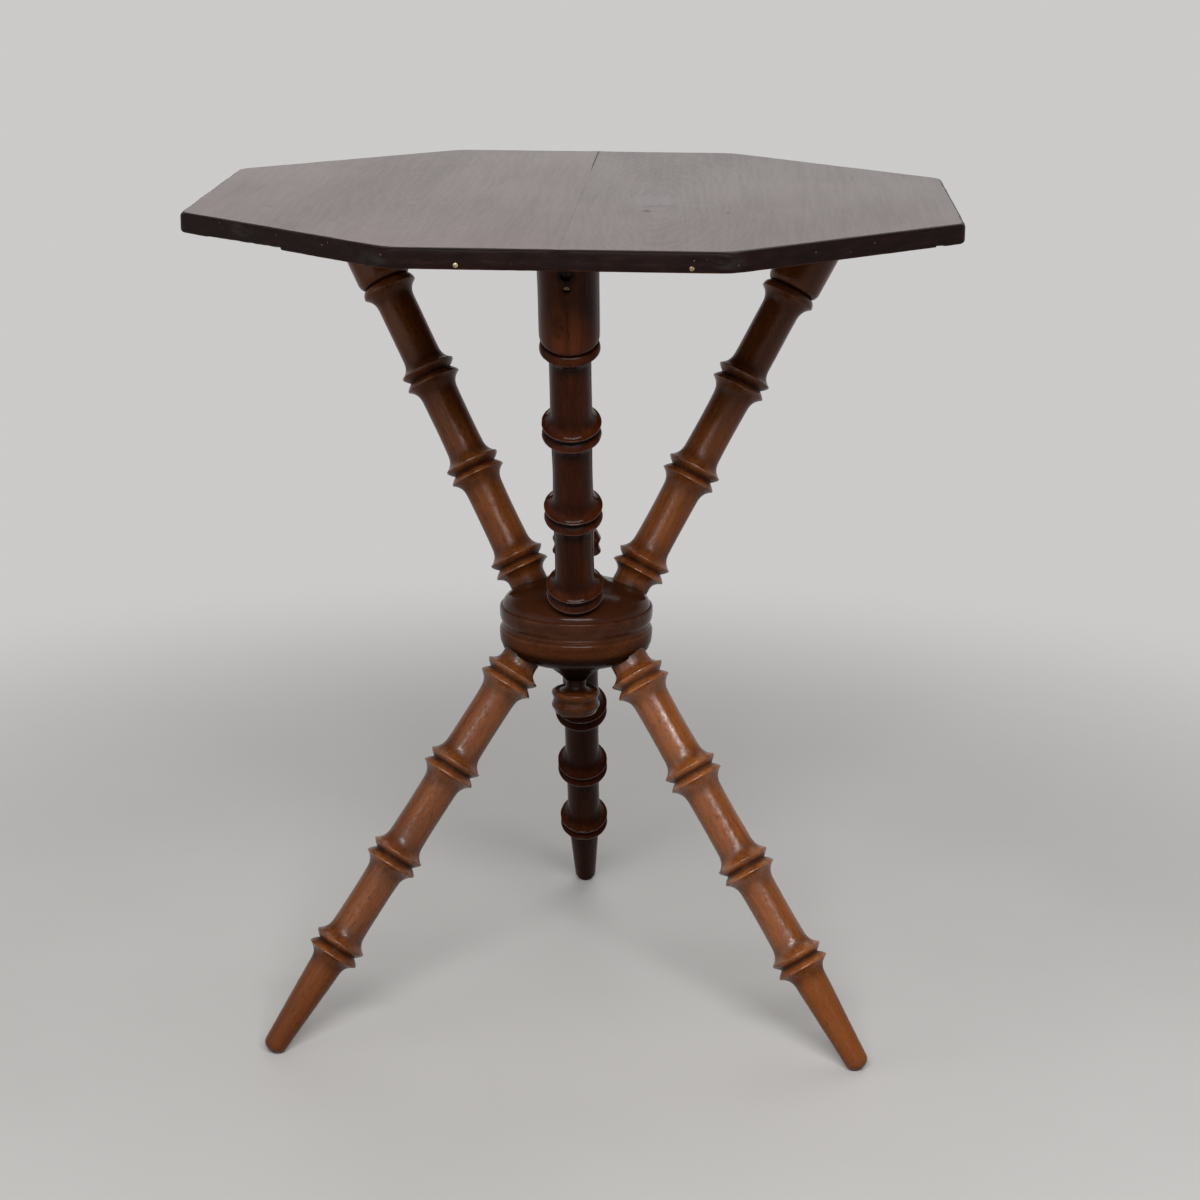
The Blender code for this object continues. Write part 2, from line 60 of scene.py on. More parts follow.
# Boss
BAND_HEIGHT = 0.0135
DOME_HEIGHT = 0.020
DOME_RADIUS = 0.0591
NIPPLE_BASE_RADIUS = 0.028
NIPPLE_LENGTH = 0.0154
NIPPLE_END_RADIUS = 0.0090
NIPPLE_POWER = 1.2
BOSS_SIDE_OFFSET = -0.0008
LEDGE_RADIUS = 0.0577
LEDGE_HEIGHT = 0.0145
BOSS_BEAD_DEPTH = 0.0046
BOSS_ROUNDING = 0.00022
BOSS_DIRT_AND_SHADE = 0.35
BOSS_SEGMENTS = 128
BOSS_SEED = 9
DOME_STEPS = 40
LOW_DOME_START = 0.06
NIPPLE_STEPS = 20
NIPPLE_RISE = DOME_HEIGHT * math.sqrt(1 - (NIPPLE_BASE_RADIUS / DOME_RADIUS) ** 2)
NIPPLE_END = BAND_HEIGHT + NIPPLE_RISE + NIPPLE_LENGTH
BOSS_CENTRE = Vector((BOSS_SIDE_OFFSET, 0, BOSS_MID_HEIGHT))

# Profile of the boss between its domes: height from its middle, and radius
BOSS_BAND = (
    (-0.0168, 0.0574), (-0.0152, 0.0586), (-0.0136, 0.0592), (-0.0120, 0.0595), (-0.0090, 0.0597),
    (-0.0056, 0.0600), (-0.0044, 0.05985), (-0.0034, 0.0595), (-0.0026, 0.0589), (-0.0019, 0.0579),
    (-0.0015, 0.0577), (-0.0009, 0.0580), (-0.0001, 0.0579), (0.0004, 0.0573), (0.0014, 0.0578),
    (0.0028, 0.0586), (0.0044, 0.0593), (0.0060, 0.05975), (0.0090, 0.0600), (0.0126, 0.0600),
    (0.0138, 0.0597), (0.0144, 0.0591), (0.0145, 0.0585),
)

# Finials
FINIAL_NECK_RADIUS = 0.0063
FINIAL_NECK_LENGTH = 0.0093
FINIAL_TENON_DEPTH = 0.024
FINIAL_SOCKET_SPARE = 0.005
FINIAL_ROUNDING = 0.00025
FINIAL_SEGMENTS = 64
FINIAL_SEED = 11

# Profile of a finial: of its neck from the boss on, and of its rims from the neck's end on
FINIAL_NECK = ((FIT_GAP, 0.0086), (0.0015, 0.0081), (0.0035, 0.0077), (0.0055, 0.0078),
               (0.0071, 0.0085), (0.0085, 0.0098))
FINIAL_RIMS = (
    (0, 0.0118), (0.0003, 0.0135), (0, 0.0170), (0.0002, 0.0180), (0.0008, 0.0188), (0.0018, 0.0190),
    (0.0027, 0.0189), (0.0037, 0.0184), (0.0069, 0.0172), (0.0102, 0.0184), (0.0112, 0.0189),
    (0.0121, 0.0190), (0.0130, 0.0188), (0.0138, 0.0182), (0.0163, 0.0170), (0.0182, 0.0160),
    (0.0189, 0.0149), (0.0189, 0),
)

# Necks, rings and flares of legs and arms
STICK_SEGMENTS = 64
STICK_SEEDS = (1, 2, 3, 5, 6, 7)
NECK_RADIUS = 0.0148
NECK_LENGTH = 0.0168
TENON_DEPTH = 0.022
TENON_CHAMFER = 0.0015
RING_SPACING = 0.0102
RING_GROOVE_DEPTH = 0.0050
RING_GROOVE_POWER = 1.3
RIM_THICKNESS = 0.0010
QUIRK_DEPTH = 0.0006
FLARE_LENGTH = 0.016
FLARE_POWER = 3.6

# Legs
LEG_AZIMUTHS = {"leg_back": 91.1, "leg_front_left": 209.7, "leg_front_right": 329.6}
LEG_AIM = BOSS_MID_HEIGHT + 0.042
LEG_LIPS = (0.0219, 0.02143, 0.02097, 0.0205)
LEG_SHAFTS = (NECK_RADIUS, 0.0149, 0.0145, 0.0141, 0.0126)
FOOT_LENGTH = 0.0945
FOOT_END_RADIUS = 0.0090
FOOT_TIP_LENGTH = 0.0070
FOOT_WEAR = 0.0008

# Arms: azimuth, height they aim at, distance from the middle under the top, length of neck and cap
BACK_ARM = (BOSS_MID_HEIGHT - 0.0507, TOP_APOTHEM - 0.0502, NECK_LENGTH, 0.0827)
ARM_PLACES = {
    "arm_front": (270.8, BOSS_MID_HEIGHT - 0.0429, TOP_APOTHEM - 0.0729, 0.0133, 0.0759),
    "arm_back_left": (148.6, *BACK_ARM),
    "arm_back_right": (29.1, *BACK_ARM),
}
ARM_RING_PAIRS = 3
ARM_LIP_RADIUS = 0.0219
ARM_SHAFT_RADIUS = 0.0152
CAP_RADIUS = 0.0217
CAP_LIP_OFFSET = 0.0068
CAP_GROOVE_DEPTH = 0.0050
CAP_SHOULDER_LENGTH = 0.0072
CAP_SPARE_LENGTH = 0.030

# Holes of the screws, nails and tacks
FASTENER_LEAN = math.radians(45)
FASTENER_SIDE_OFFSET = -0.0004
FASTENER_SEGMENTS = 32
POCKET_REACH = 0.010
SCREW_HOLE = {"from_top": 0.0143, "sunk": 0.002, "radius": 0.0036 + FIT_GAP, "depth": 0.0024 + FIT_GAP}
NAIL_HOLE = {"from_top": 0.0256, "sunk": 0.0008, "radius": 0.0022 + FIT_GAP, "depth": 0.0009 + FIT_GAP}
TACK_PLACES = (-0.0675, 0.0890)
TACK_HEIGHT = UNDERSIDE + 0.0030
TACK_HOLE_RADIUS = 0.0017 + FIT_GAP
TACK_HOLE_DEPTH = 0.0012

# Fine shaping
TINY = 1e-6
PROFILE_STEP = 0.0001
QUARTER_TURN = np.linspace(0, math.pi / 2, 24)
CORNER_ROUNDING = 0.00028
THINNING = 0.000025
LONGEST_STEP = 0.006
# Recess: darkening of the wood in grooves, in the hollows by the rings and in the quirks, both dirt and
# painted shade
RECESS_WIDTH = 0.0035
RECESS_DEPTH = 0.0020
GROOVE_REACH = 0.007
GROOVE_DEPTH = 0.0042
GROOVE_POWER = 1.6
HOLLOW_WIDTH = 0.009
HOLLOW_SHARE = 0.42
NOOK_WIDTH = 0.0009
NOOK_DEPTH = 0.00022
NOOK_SHARE = 0.55
CREST_HEIGHT = 0.0026
RIM_CREST = 0.55
SHAFT_WAIST = 0.0004
OUT_OF_ROUND = 0.00016
LIP_DENTS = 0.0006
DENT_START = 0.18
DENT_GAIN = 1.6
DENT_RUB = 0.5
DIRT_REACH = 0.0022
DOME_DISTANCE = 1.15 * DOME_HEIGHT
NECK_DIRT_AND_SHADE = 0.4
NECK_RING_REACH = 0.0075
SMOOTH_ANGLE = math.radians(38)

# Noise on a turning: waves round it, length along it, and the step from piece to piece
WOBBLE = (1.3, 0.028, 17.0)
DENTS = (4.5, 0.012, 31.0)

# Board edges
EDGE_STEP = 0.0015
CORNER_RADIUS = 0.011
CORNER_STEPS = 6
CORNER_CLEARANCE = 0.5
CORNER_WEAR = 0.012
WEAR_LENGTH = 0.030
WEAR_SLICE = 3.0
FINE_WEAR_LENGTH = 0.007
FINE_WEAR_SLICE = 7.0
LARGEST_ARRIS = 0.0058
JOINT_ARRIS = 0.0001
JOINT_FADE = (0.001, 0.009)
TIGHT_JOINT = 0.3 * JOINT_ARRIS
OPEN_JOINT = 0.00045
OPEN_JOINT_FROM = (0.14, 0.18)
NICK_LENGTH = 0.020
NICK_SLICE = 11.0
NICK_START = 0.25
NICK_SHARE = 0.5
JOINT_GAP = 0.00005
SIDE_DEPTHS = (0.0064, 0.0078, 0.0092)
FLAT_FACE = 0.9999
TOP_FACE = 0.8
LOW_FACE = -0.9

# Upper and lower arris: size, and how far the wear, its fine part and a corner near by change it
ARRIS_SIZES = ((0.0026, 0.35, 0.18, 0.5), (0.0011, -0.25, 0.45, 1.2))

# Quarter round of an arris: its share of the run in from the edge and of the depth, and its wear
ARRIS = [(1 - math.sin(angle), 1 - math.cos(angle), math.sin(2 * angle))
         for angle in np.linspace(0, math.pi / 2, 5)]

# Flakes off the lower edge: their two ends and the height at each
CHIPS = (
    ((-0.2770, -0.1308), (-0.1952, -0.2066), 0.0005, 0.0030),
    ((-0.2050, -0.1975), (-0.1990, -0.2031), 0.0020, 0.0037),
    ((0.2590, -0.1475), (0.2655, -0.1414), 0.0024, 0.0012),
    ((-0.2730, 0.1345), (-0.2670, 0.1401), 0.0022, 0.0016),
    ((0.0560, 0.2800), (0.0640, 0.2800), 0.0020, 0.0013),
)
CHIP_DISTANCE = 0.003
CHIP_UNEVEN = 0.25
CHIP_INSET = 4.5
LARGEST_CHIP = 0.0045

# Camera, fitted to the photograph
IMAGE_SIZE = 1200
FOCAL_PIXELS = 2848.36
SENSOR_WIDTH = 36.0
CAMERA_PLACE = Vector((0.1136, -2.1474, 0.9317))
CAMERA_YAW = math.radians(-2.5563)
CAMERA_PITCH = math.radians(-15.5692)
CAMERA_ROLL = math.radians(0.4849)


def blur(values, width):
    """Gaussian blur of rows of values, with both end rows held."""
    reach = min(max(int(4 * width), 1), len(values) - 1)
    kernel = np.exp(-0.5 * (np.arange(-reach, reach + 1) / width) ** 2)
    before = 2 * values[0] - values[reach:0:-1]
    after = 2 * values[-1] - values[-2:-reach - 2:-1]
    padded = np.concatenate([before, values, after])
    return np.stack([np.convolve(column, kernel / kernel.sum(), "valid") for column in padded.T], axis=1)


def closed(values, reach):
    """Values with the hollows narrower than twice the reach filled."""
    for pick in (np.max, np.min):
        padded = np.pad(values, reach, mode="edge")
        values = pick(np.lib.stride_tricks.sliding_window_view(padded, 2 * reach + 1), axis=1)
    return values


def even_points(points, step):
    """Points at an even spacing along a polyline."""
    points = np.asarray(points, float)
    along = np.concatenate([[0], np.cumsum(np.linalg.norm(np.diff(points, axis=0), axis=1))])
    places = np.linspace(0, along[-1], int(along[-1] / step) + 1)
    return np.stack([np.interp(places, along, column) for column in points.T], axis=1)


def thinned(points, tolerance, longest):
    """Numbers of the points that keep a polyline's shape."""
    kept = [0]
    last = len(points) - 1
    while kept[-1] < last:
        start = kept[-1]
        end = min(start + 1, last)
        while end < last:
            chord = points[end + 1] - points[start]
            length = np.linalg.norm(chord)
            between = points[start + 1:end + 1] - points[start]
            away = np.abs(between[:, 0] * chord[1] - between[:, 1] * chord[0]) / max(length, TINY)
            if length > longest or away.max() > tolerance:
                break
            end += 1
        kept.append(end)
    return kept


def shaped(points, rounding=CORNER_ROUNDING):
    """Fine profile with rounded corners: heights, radii, and how far each point is a recess or a crest."""
    even = even_points(points, PROFILE_STEP)
    smooth = blur(even, rounding / PROFILE_STEP)
    smooth[:, 1] = np.maximum(smooth[:, 1], 0)
    smooth[[0, -1], 1] = 0
    level, hollow, nook = [blur(smooth, width / PROFILE_STEP)[:, 1] - smooth[:, 1]
                           for width in (RECESS_WIDTH, HOLLOW_WIDTH, NOOK_WIDTH)]
    groove = closed(smooth[:, 1], int(GROOVE_REACH / PROFILE_STEP)) - smooth[:, 1]
    kept = thinned(smooth, THINNING, LONGEST_STEP)
    # The recess darkens the wood later as dirt and painted shade in grooves, hollows and quirks
    recess = np.maximum(level / RECESS_DEPTH, (groove / GROOVE_DEPTH) ** GROOVE_POWER)
    recess = recess + HOLLOW_SHARE * np.clip(hollow / RECESS_DEPTH, 0, 1)
    recess = np.clip(recess + NOOK_SHARE * np.clip(nook / NOOK_DEPTH, 0, 1), 0, 1)
    crest = np.clip(-level / CREST_HEIGHT, 0, 1)
    return np.stack([smooth[kept, 0], smooth[kept, 1], recess[kept], crest[kept]], axis=1)


def turning_noise(angle, height, seed, waves, length, step):
    """Noise round and along a turning."""
    place = (waves * math.cos(angle), waves * math.sin(angle), height / length + step * seed)
    return noise.noise(Vector(place))


def turned(name, profile, segments, seed=0):
    """Mesh turned about Z, with its recesses and crests kept as attributes."""
    verts = []
    recess = []
    crest = []
    rings = []
    for height, radius, low, high in profile:
        ring = []
        for step in range(segments if radius > TINY else 1):
            angle = math.tau * step / segments
            knock = grown = 0
            if radius > TINY:
                dent = max(turning_noise(angle, height, seed, *DENTS) - DENT_START, 0) * DENT_GAIN
                knock = high * dent
                wobble = OUT_OF_ROUND * turning_noise(angle, height, seed, *WOBBLE)
                grown = radius + wobble - LIP_DENTS * knock
            ring.append(len(verts))
            verts.append((grown * math.cos(angle), grown * math.sin(angle), height))
            recess.append(low)
            crest.append(min(high + DENT_RUB * knock, 1))
        rings.append(ring)
    faces = []
    for low, high in zip(rings, rings[1:]):
        for step in range(segments):
            a, b = low[step % len(low)], low[(step + 1) % len(low)]
            c, d = high[(step + 1) % len(high)], high[step % len(high)]
            faces.append(tuple(dict.fromkeys((a, b, c, d))))
    return new_mesh(name, verts, faces, recess=recess, crest=crest)


def set_attribute(mesh, name, values):
    """Store one number for each vertex."""
    layer = mesh.attributes.get(name) or mesh.attributes.new(name, "FLOAT", "POINT")
    layer.data.foreach_set("value", np.asarray(values, np.float32))


def new_mesh(name, verts, faces, **numbers):
    """Mesh with numbers stored for each vertex."""
    mesh = bpy.data.meshes.new(name)
    mesh.from_pydata(verts, [], faces)
    for key, values in numbers.items():
        set_attribute(mesh, key, values)
    return mesh


def get_attribute(mesh, name):
    """Numbers stored for each vertex."""
    values = np.zeros(len(mesh.vertices), np.float32)
    mesh.attributes[name].data.foreach_get("value", values)
    return values


def cut_level(mesh, matrix, height, keep_below):
    """Cut a mesh, which matrix places in the scene, flat at a level and close the cut."""
    bm = bmesh.new()
    bm.from_mesh(mesh)
    to_local = matrix.inverted()
    normal = Vector((0, 0, 1 if keep_below else -1))
    bmesh.ops.bisect_plane(bm, geom=bm.verts[:] + bm.edges[:] + bm.faces[:], dist=TINY,
                           plane_co=to_local @ Vector((0, 0, height)),
                           plane_no=to_local.to_3x3() @ normal, clear_outer=True)
    bmesh.ops.holes_fill(bm, edges=[edge for edge in bm.edges if edge.is_boundary])
    bm.to_mesh(mesh)
    bm.free()


def new_object(name, data, location=(0, 0, 0), rotation=(0, 0, 0)):
    """Object in the scene."""
    piece = bpy.data.objects.new(name, data)
    bpy.context.scene.collection.objects.link(piece)
    piece.location = location
    piece.rotation_euler = rotation
    return piece


def carve(piece, cutters):
    """Take cutters out of a piece for good, remove them and give new vertices their neighbours' numbers."""
    kept = [name for name in ("recess", "crest", "along") if name in piece.data.attributes]
    numbers = {name: get_attribute(piece.data, name) for name in kept}
    tree = kdtree.KDTree(len(piece.data.vertices))
    for vert in piece.data.vertices:
        tree.insert(vert.co, vert.index)
    tree.balance()
    for cutter in cutters:
        modifier = piece.modifiers.new(cutter.name, "BOOLEAN")
        modifier.operation = "DIFFERENCE"
        modifier.solver = "EXACT"
        modifier.object = cutter
    bpy.context.view_layer.update()
    whole = piece.data
    carved = bpy.data.meshes.new_from_object(piece.evaluated_get(bpy.context.evaluated_depsgraph_get()))
    piece.modifiers.clear()
    piece.data = carved
    carved.name = whole.name + "_carved"
    nearest = [tree.find(vert.co)[1] for vert in carved.vertices]
    for name, values in numbers.items():
        set_attribute(carved, name, values[nearest])
    for cutter in cutters:
        bpy.data.objects.remove(cutter)


def dress(piece, node, *materials):
    """Let a finished piece stand for its solid, with its place in its mesh."""
    piece.data.transform(piece.matrix_basis)
    piece.matrix_basis = Matrix()
    for material in materials:
        piece.data.materials.append(material)
    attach(piece, "root")
    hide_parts(node)


class StickAxis:
    """Axis of a leg or arm, from its aim point on the table's centre line."""

    def __init__(self, azimuth, aim, tilt, neck, cap=0.0):
        self.azimuth = math.radians(azimuth)
        self.aim = aim
        self.tilt = tilt
        self.neck = neck
        rise = math.cos(tilt)
        run = math.sin(tilt)
        turn = Matrix.Rotation(self.azimuth, 4, "Z") @ Matrix.Rotation(tilt, 4, "Y")
        self.matrix = Matrix.Translation((0, 0, aim)) @ turn
        # Where an arm meets the top, and where the groove below its cap lies
        self.end = (UNDERSIDE - aim) / rise
        self.groove = self.end - cap
        # Where the stick comes out of the boss's dome
        start = aim - BOSS_MID_HEIGHT - math.copysign(BAND_HEIGHT, rise)
        square = (run / DOME_RADIUS) ** 2 + (rise / DOME_HEIGHT) ** 2
        half_linear = start * rise / DOME_HEIGHT ** 2
        constant = (start / DOME_HEIGHT) ** 2 - 1
        self.entry = (-half_linear + math.sqrt(half_linear ** 2 - square * constant)) / square


LEG_TILT = math.pi - math.atan2(FOOT_CIRCLE_RADIUS, LEG_AIM)
LEGS = {node: StickAxis(azimuth, LEG_AIM, LEG_TILT, NECK_LENGTH) for node, azimuth in LEG_AZIMUTHS.items()}
ARMS = {node: StickAxis(azimuth, aim, math.atan2(radius, UNDERSIDE - aim), neck, cap)
        for node, (azimuth, aim, radius, neck, cap) in ARM_PLACES.items()}
STICKS = {**LEGS, **ARMS}


def ring_pair(height, radius, middle, lip, room_before):
    """Radii with two lipped rings, their groove and their flares added."""
    half = RING_SPACING / 2
    away = np.abs(height - middle)
    groove = lip - RING_GROOVE_DEPTH * np.clip(1 - away / half, 0, 1) ** RING_GROOVE_POWER
    room = np.where(height < middle, room_before, FLARE_LENGTH)
    beyond = away - half - RIM_THICKNESS
    fade = np.clip(1 - beyond / (room - RIM_THICKNESS), 0, 1) ** FLARE_POWER
    flare = radius + (lip - QUIRK_DEPTH - radius) * fade
    return np.where(away <= half, groove, np.where(beyond <= 0, lip, flare))


def shaft_radii(height, middles, shafts):
    """Plain radii between ring pairs, a little waisted."""
    radius = np.full_like(height, shafts[0])
    for index, middle in enumerate(middles):
        radius = np.where(height > middle, shafts[index + 1], radius)
    for low, high in zip(middles, middles[1:]):
        inside = np.clip((height - low) / (high - low), 0, 1)
        radius = radius - SHAFT_WAIST * np.sin(np.pi * inside) ** 2
    return radius


def arc(angles, along, radius, run, fall):
    """Profile of part of an oval round a place at a distance along and at a radius."""
    return [(along + run * math.sin(angle), radius + fall * math.cos(angle)) for angle in angles]


def stick_points(height, radius, entry):
    """Profile of a stick with its tenon, from the axis on."""
    start = entry - TENON_DEPTH
    tenon = [(start, 0), (start, NECK_RADIUS - TENON_CHAMFER), (start + TENON_CHAMFER, NECK_RADIUS)]
    return tenon + list(zip(height, radius))


def ringed(height, radius, middles, lips, neck):
    """Radii with every ring pair of a stick added."""
    room = neck - RING_SPACING / 2 - FIT_GAP
    for middle, lip in zip(middles, lips):
        radius = ring_pair(height, radius, middle, lip, room)
        room = FLARE_LENGTH
    return radius


def leg_rings(axis):
    """Where a leg's ring pairs lie along its axis, and where its tip begins."""
    lean = math.pi - axis.tilt
    drop = math.hypot(FOOT_END_RADIUS * math.sin(lean), FOOT_TIP_LENGTH * math.cos(lean))
    tip = (axis.aim - drop + FOOT_WEAR) / math.cos(lean)
    last = tip + FOOT_TIP_LENGTH - FOOT_LENGTH
    return np.linspace(axis.entry + axis.neck, last, len(LEG_LIPS)), tip


def leg_points(axis):
    """Profile of a leg."""
    middles, tip = leg_rings(axis)
    height = np.arange(axis.entry, tip, PROFILE_STEP)
    taper_start = middles[-1] + RING_SPACING / 2 + FLARE_LENGTH
    taper = np.clip((height - taper_start) / (tip - taper_start), 0, 1)
    radius = shaft_radii(height, middles, LEG_SHAFTS) + (FOOT_END_RADIUS - LEG_SHAFTS[-1]) * taper
    points = stick_points(height, ringed(height, radius, middles, LEG_LIPS, axis.neck), axis.entry)
    return points + arc(QUARTER_TURN, tip, 0, FOOT_TIP_LENGTH, FOOT_END_RADIUS)


def arm_points(axis):
    """Profile of an arm, longer than its cap is in the end."""
    *middles, groove = np.linspace(axis.entry + axis.neck, axis.groove, ARM_RING_PAIRS + 1)
    crest = groove - CAP_LIP_OFFSET
    height = np.arange(axis.entry, crest, PROFILE_STEP)
    radius = shaft_radii(height, middles, (NECK_RADIUS,) + (ARM_SHAFT_RADIUS,) * ARM_RING_PAIRS)
    radius = ringed(height, radius, middles, (ARM_LIP_RADIUS,) * ARM_RING_PAIRS, axis.neck)
    fade = np.clip(1 - (crest - height) / FLARE_LENGTH, 0, 1) ** FLARE_POWER
    points = stick_points(height, radius + (ARM_LIP_RADIUS - radius) * fade, axis.entry)
    bottom = ARM_LIP_RADIUS - CAP_GROOVE_DEPTH
    points += arc(QUARTER_TURN, crest, bottom, CAP_LIP_OFFSET, CAP_GROOVE_DEPTH)
    points += arc(QUARTER_TURN[-2::-1], groove + CAP_SHOULDER_LENGTH, bottom,
                  -CAP_SHOULDER_LENGTH, CAP_RADIUS - bottom)
    end = axis.end + CAP_SPARE_LENGTH
    return points + [(end, CAP_RADIUS), (end, 0)]


def boss_surface(place):
    """How far a place is outside the boss's domes, roughly."""
    x, y, z = place - Vector((BOSS_SIDE_OFFSET, 0, 0))
    height = max(abs(z - BOSS_MID_HEIGHT) - BAND_HEIGHT, 0)
    size = math.sqrt((x * x + y * y) / DOME_RADIUS ** 2 + (height / DOME_HEIGHT) ** 2)
    return (size - 1) * DOME_DISTANCE


def fade_neck_recess(profile, axis):
    """Profile with less dirt and painted shade on the neck."""
    profile[profile[:, 0] < axis.entry + axis.neck - NECK_RING_REACH, 2] *= NECK_DIRT_AND_SHADE
    return profile


def soiled(dirt_and_shade, away):
    """Dirt and painted shade, with more dirt added near a joint."""
    return min(dirt_and_shade + math.exp(-max(away, 0) / DIRT_REACH), 1)


def dirty_neck(mesh, matrix):
    """Dirt on a stick where it meets the boss or the top."""
    recess = get_attribute(mesh, "recess")
    for vert in mesh.vertices:
        place = matrix @ vert.co
        away = min(abs(boss_surface(place)), UNDERSIDE - place.z)
        recess[vert.index] = soiled(recess[vert.index], away)
    set_attribute(mesh, "recess", recess)


def shade(mesh):
    """Smooth shading with sharp rims."""
    mesh.shade_smooth()
    mesh.set_sharp_from_angle(angle=SMOOTH_ANGLE)


def share_finishes(mesh, foot_start):
    """Give the rims and the foot of a stick their own materials."""
    crest = get_attribute(mesh, "crest")
    for face in mesh.polygons:
        rim = crest[list(face.vertices)].mean() > RIM_CREST
        face.material_index = 1 if rim else 2 if face.center.z > foot_start else 0


def hole_place(axis, from_top, sunk):
    """Place of a screw's or nail's head in the outer side of an arm's cap."""
    outer = (UNDERSIDE - axis.aim) * math.tan(axis.tilt) + CAP_RADIUS / math.cos(axis.tilt)
    place = Vector((outer - from_top * math.sin(axis.tilt) - sunk * math.sin(FASTENER_LEAN),
                    FASTENER_SIDE_OFFSET,
                    UNDERSIDE - from_top * math.cos(axis.tilt) + sunk * math.cos(FASTENER_LEAN)))
    return Matrix.Rotation(axis.azimuth, 3, "Z") @ place


def rod(start, end, radius, segments, location=(0, 0, 0), rotation=(0, 0, 0)):
    """Plain round cutter along its own Z."""
    profile = [(start, 0, 0, 0), (start, radius, 0, 0), (end, radius, 0, 0), (end, 0, 0, 0)]
    return new_object("cutter", turned("cutter", profile, segments), location, rotation)


def hole_cutter(axis, from_top, sunk, radius, depth):
    """Cutter for the pocket of a screw or nail."""
    place = hole_place(axis, from_top, sunk)
    turn = (0, -FASTENER_LEAN, axis.azimuth)
    return rod(-POCKET_REACH, depth, radius, FASTENER_SEGMENTS, place, turn)


def make_sticks(finishes):
    """Three fine legs, and three fine arms with the pockets of their screws and nails."""
    for seed, (node, axis) in zip(STICK_SEEDS, STICKS.items()):
        is_leg = node in LEGS
        points = leg_points(axis) if is_leg else arm_points(axis)
        mesh = turned(node + "_fine", fade_neck_recess(shaped(points), axis), STICK_SEGMENTS, seed)
        cut_level(mesh, axis.matrix, 0 if is_leg else UNDERSIDE - FIT_GAP, keep_below=not is_leg)
        dirty_neck(mesh, axis.matrix)
        piece = new_object(node + "_fine", mesh)
        piece.matrix_world = axis.matrix
        if not is_leg:
            carve(piece, [hole_cutter(axis, **hole) for hole in (SCREW_HOLE, NAIL_HOLE)])
        shade(piece.data)
        share_finishes(piece.data, leg_rings(axis)[0][-1] if is_leg else math.inf)
        dress(piece, node, *finishes[node])


def boss_points():
    """Profile of the boss, with heights from its middle."""
    last = math.acos(NIPPLE_BASE_RADIUS / LEDGE_RADIUS)
    rise = (NIPPLE_END - NIPPLE_LENGTH - LEDGE_HEIGHT) / math.sin(last)
    upper = arc(np.linspace(0, last, DOME_STEPS), LEDGE_HEIGHT, 0, rise, LEDGE_RADIUS)
    first = math.asin((-BOSS_BAND[0][0] - BAND_HEIGHT) / DOME_HEIGHT) + LOW_DOME_START
    last = math.acos(NIPPLE_BASE_RADIUS / DOME_RADIUS)
    lower = arc(np.linspace(first, last, DOME_STEPS), -BAND_HEIGHT, 0, -DOME_HEIGHT, DOME_RADIUS)
    for rest in np.linspace(1, 0, NIPPLE_STEPS)[1:]:
        radius = NIPPLE_END_RADIUS + (NIPPLE_BASE_RADIUS - NIPPLE_END_RADIUS) * rest ** NIPPLE_POWER
        height = NIPPLE_END - NIPPLE_LENGTH * rest
        upper.append((height, radius))
        lower.append((-height, radius))
    return [(-NIPPLE_END, 0), *lower[::-1], *BOSS_BAND, *upper, (NIPPLE_END, 0)]


def make_boss(materials):
    """The fine boss with its sockets."""
    mesh = turned("boss_fine", shaped(boss_points(), BOSS_ROUNDING), BOSS_SEGMENTS, BOSS_SEED)
    # Part of the boss's recess darkens it as dirt and painted shade; dirt is added round each socket
    recess = BOSS_DIRT_AND_SHADE * get_attribute(mesh, "recess")
    for axis in STICKS.values():
        direction = axis.matrix.to_3x3() @ Vector((0, 0, 1))
        for vert in mesh.vertices:
            reach = vert.co + BOSS_CENTRE - axis.matrix.translation
            along = reach.dot(direction)
            if along > 0:
                away = (reach - along * direction).length - NECK_RADIUS
                recess[vert.index] = soiled(recess[vert.index], away)
    set_attribute(mesh, "recess", recess)
    piece = new_object("boss_fine", mesh, BOSS_CENTRE)
    cutters = []
    for axis in STICKS.values():
        cutters.append(rod(axis.entry - TENON_DEPTH - FIT_GAP, axis.entry + NECK_RADIUS,
                           NECK_RADIUS + FIT_GAP, STICK_SEGMENTS))
        cutters[-1].matrix_world = axis.matrix
    for turn in (0, math.pi):
        cutters.append(rod(NIPPLE_END - FINIAL_TENON_DEPTH - FIT_GAP, NIPPLE_END + FINIAL_SOCKET_SPARE,
                           FINIAL_NECK_RADIUS + FIT_GAP, FINIAL_SEGMENTS, BOSS_CENTRE, (turn, 0, 0)))
    carve(piece, cutters)
    shade(piece.data)
    for face in piece.data.polygons:
        face.material_index = int(face.center.z < -BOSS_BEAD_DEPTH)
    dress(piece, "boss", *materials)


def make_finials(finishes):
    """The finial on the boss and its twin below."""
    tenon = [(-FINIAL_TENON_DEPTH, 0), (-FINIAL_TENON_DEPTH, FINIAL_NECK_RADIUS),
             (FIT_GAP, FINIAL_NECK_RADIUS)]
    rims = [(FINIAL_NECK_LENGTH + height, radius) for height, radius in FINIAL_RIMS]
    profile = shaped([*tenon, *FINIAL_NECK, *rims], FINIAL_ROUNDING)
    places = {"upper_finial": (NIPPLE_END, 0), "pendant_finial": (-NIPPLE_END, math.pi)}
    for seed, (node, (height, turn)) in enumerate(places.items(), FINIAL_SEED):
        mesh = turned(node + "_fine", profile, FINIAL_SEGMENTS, seed)
        shade(mesh)
        place = (BOSS_SIDE_OFFSET, 0, BOSS_MID_HEIGHT + height)
        dress(new_object(node + "_fine", mesh, place, (turn, 0, 0)), node, *finishes[node])


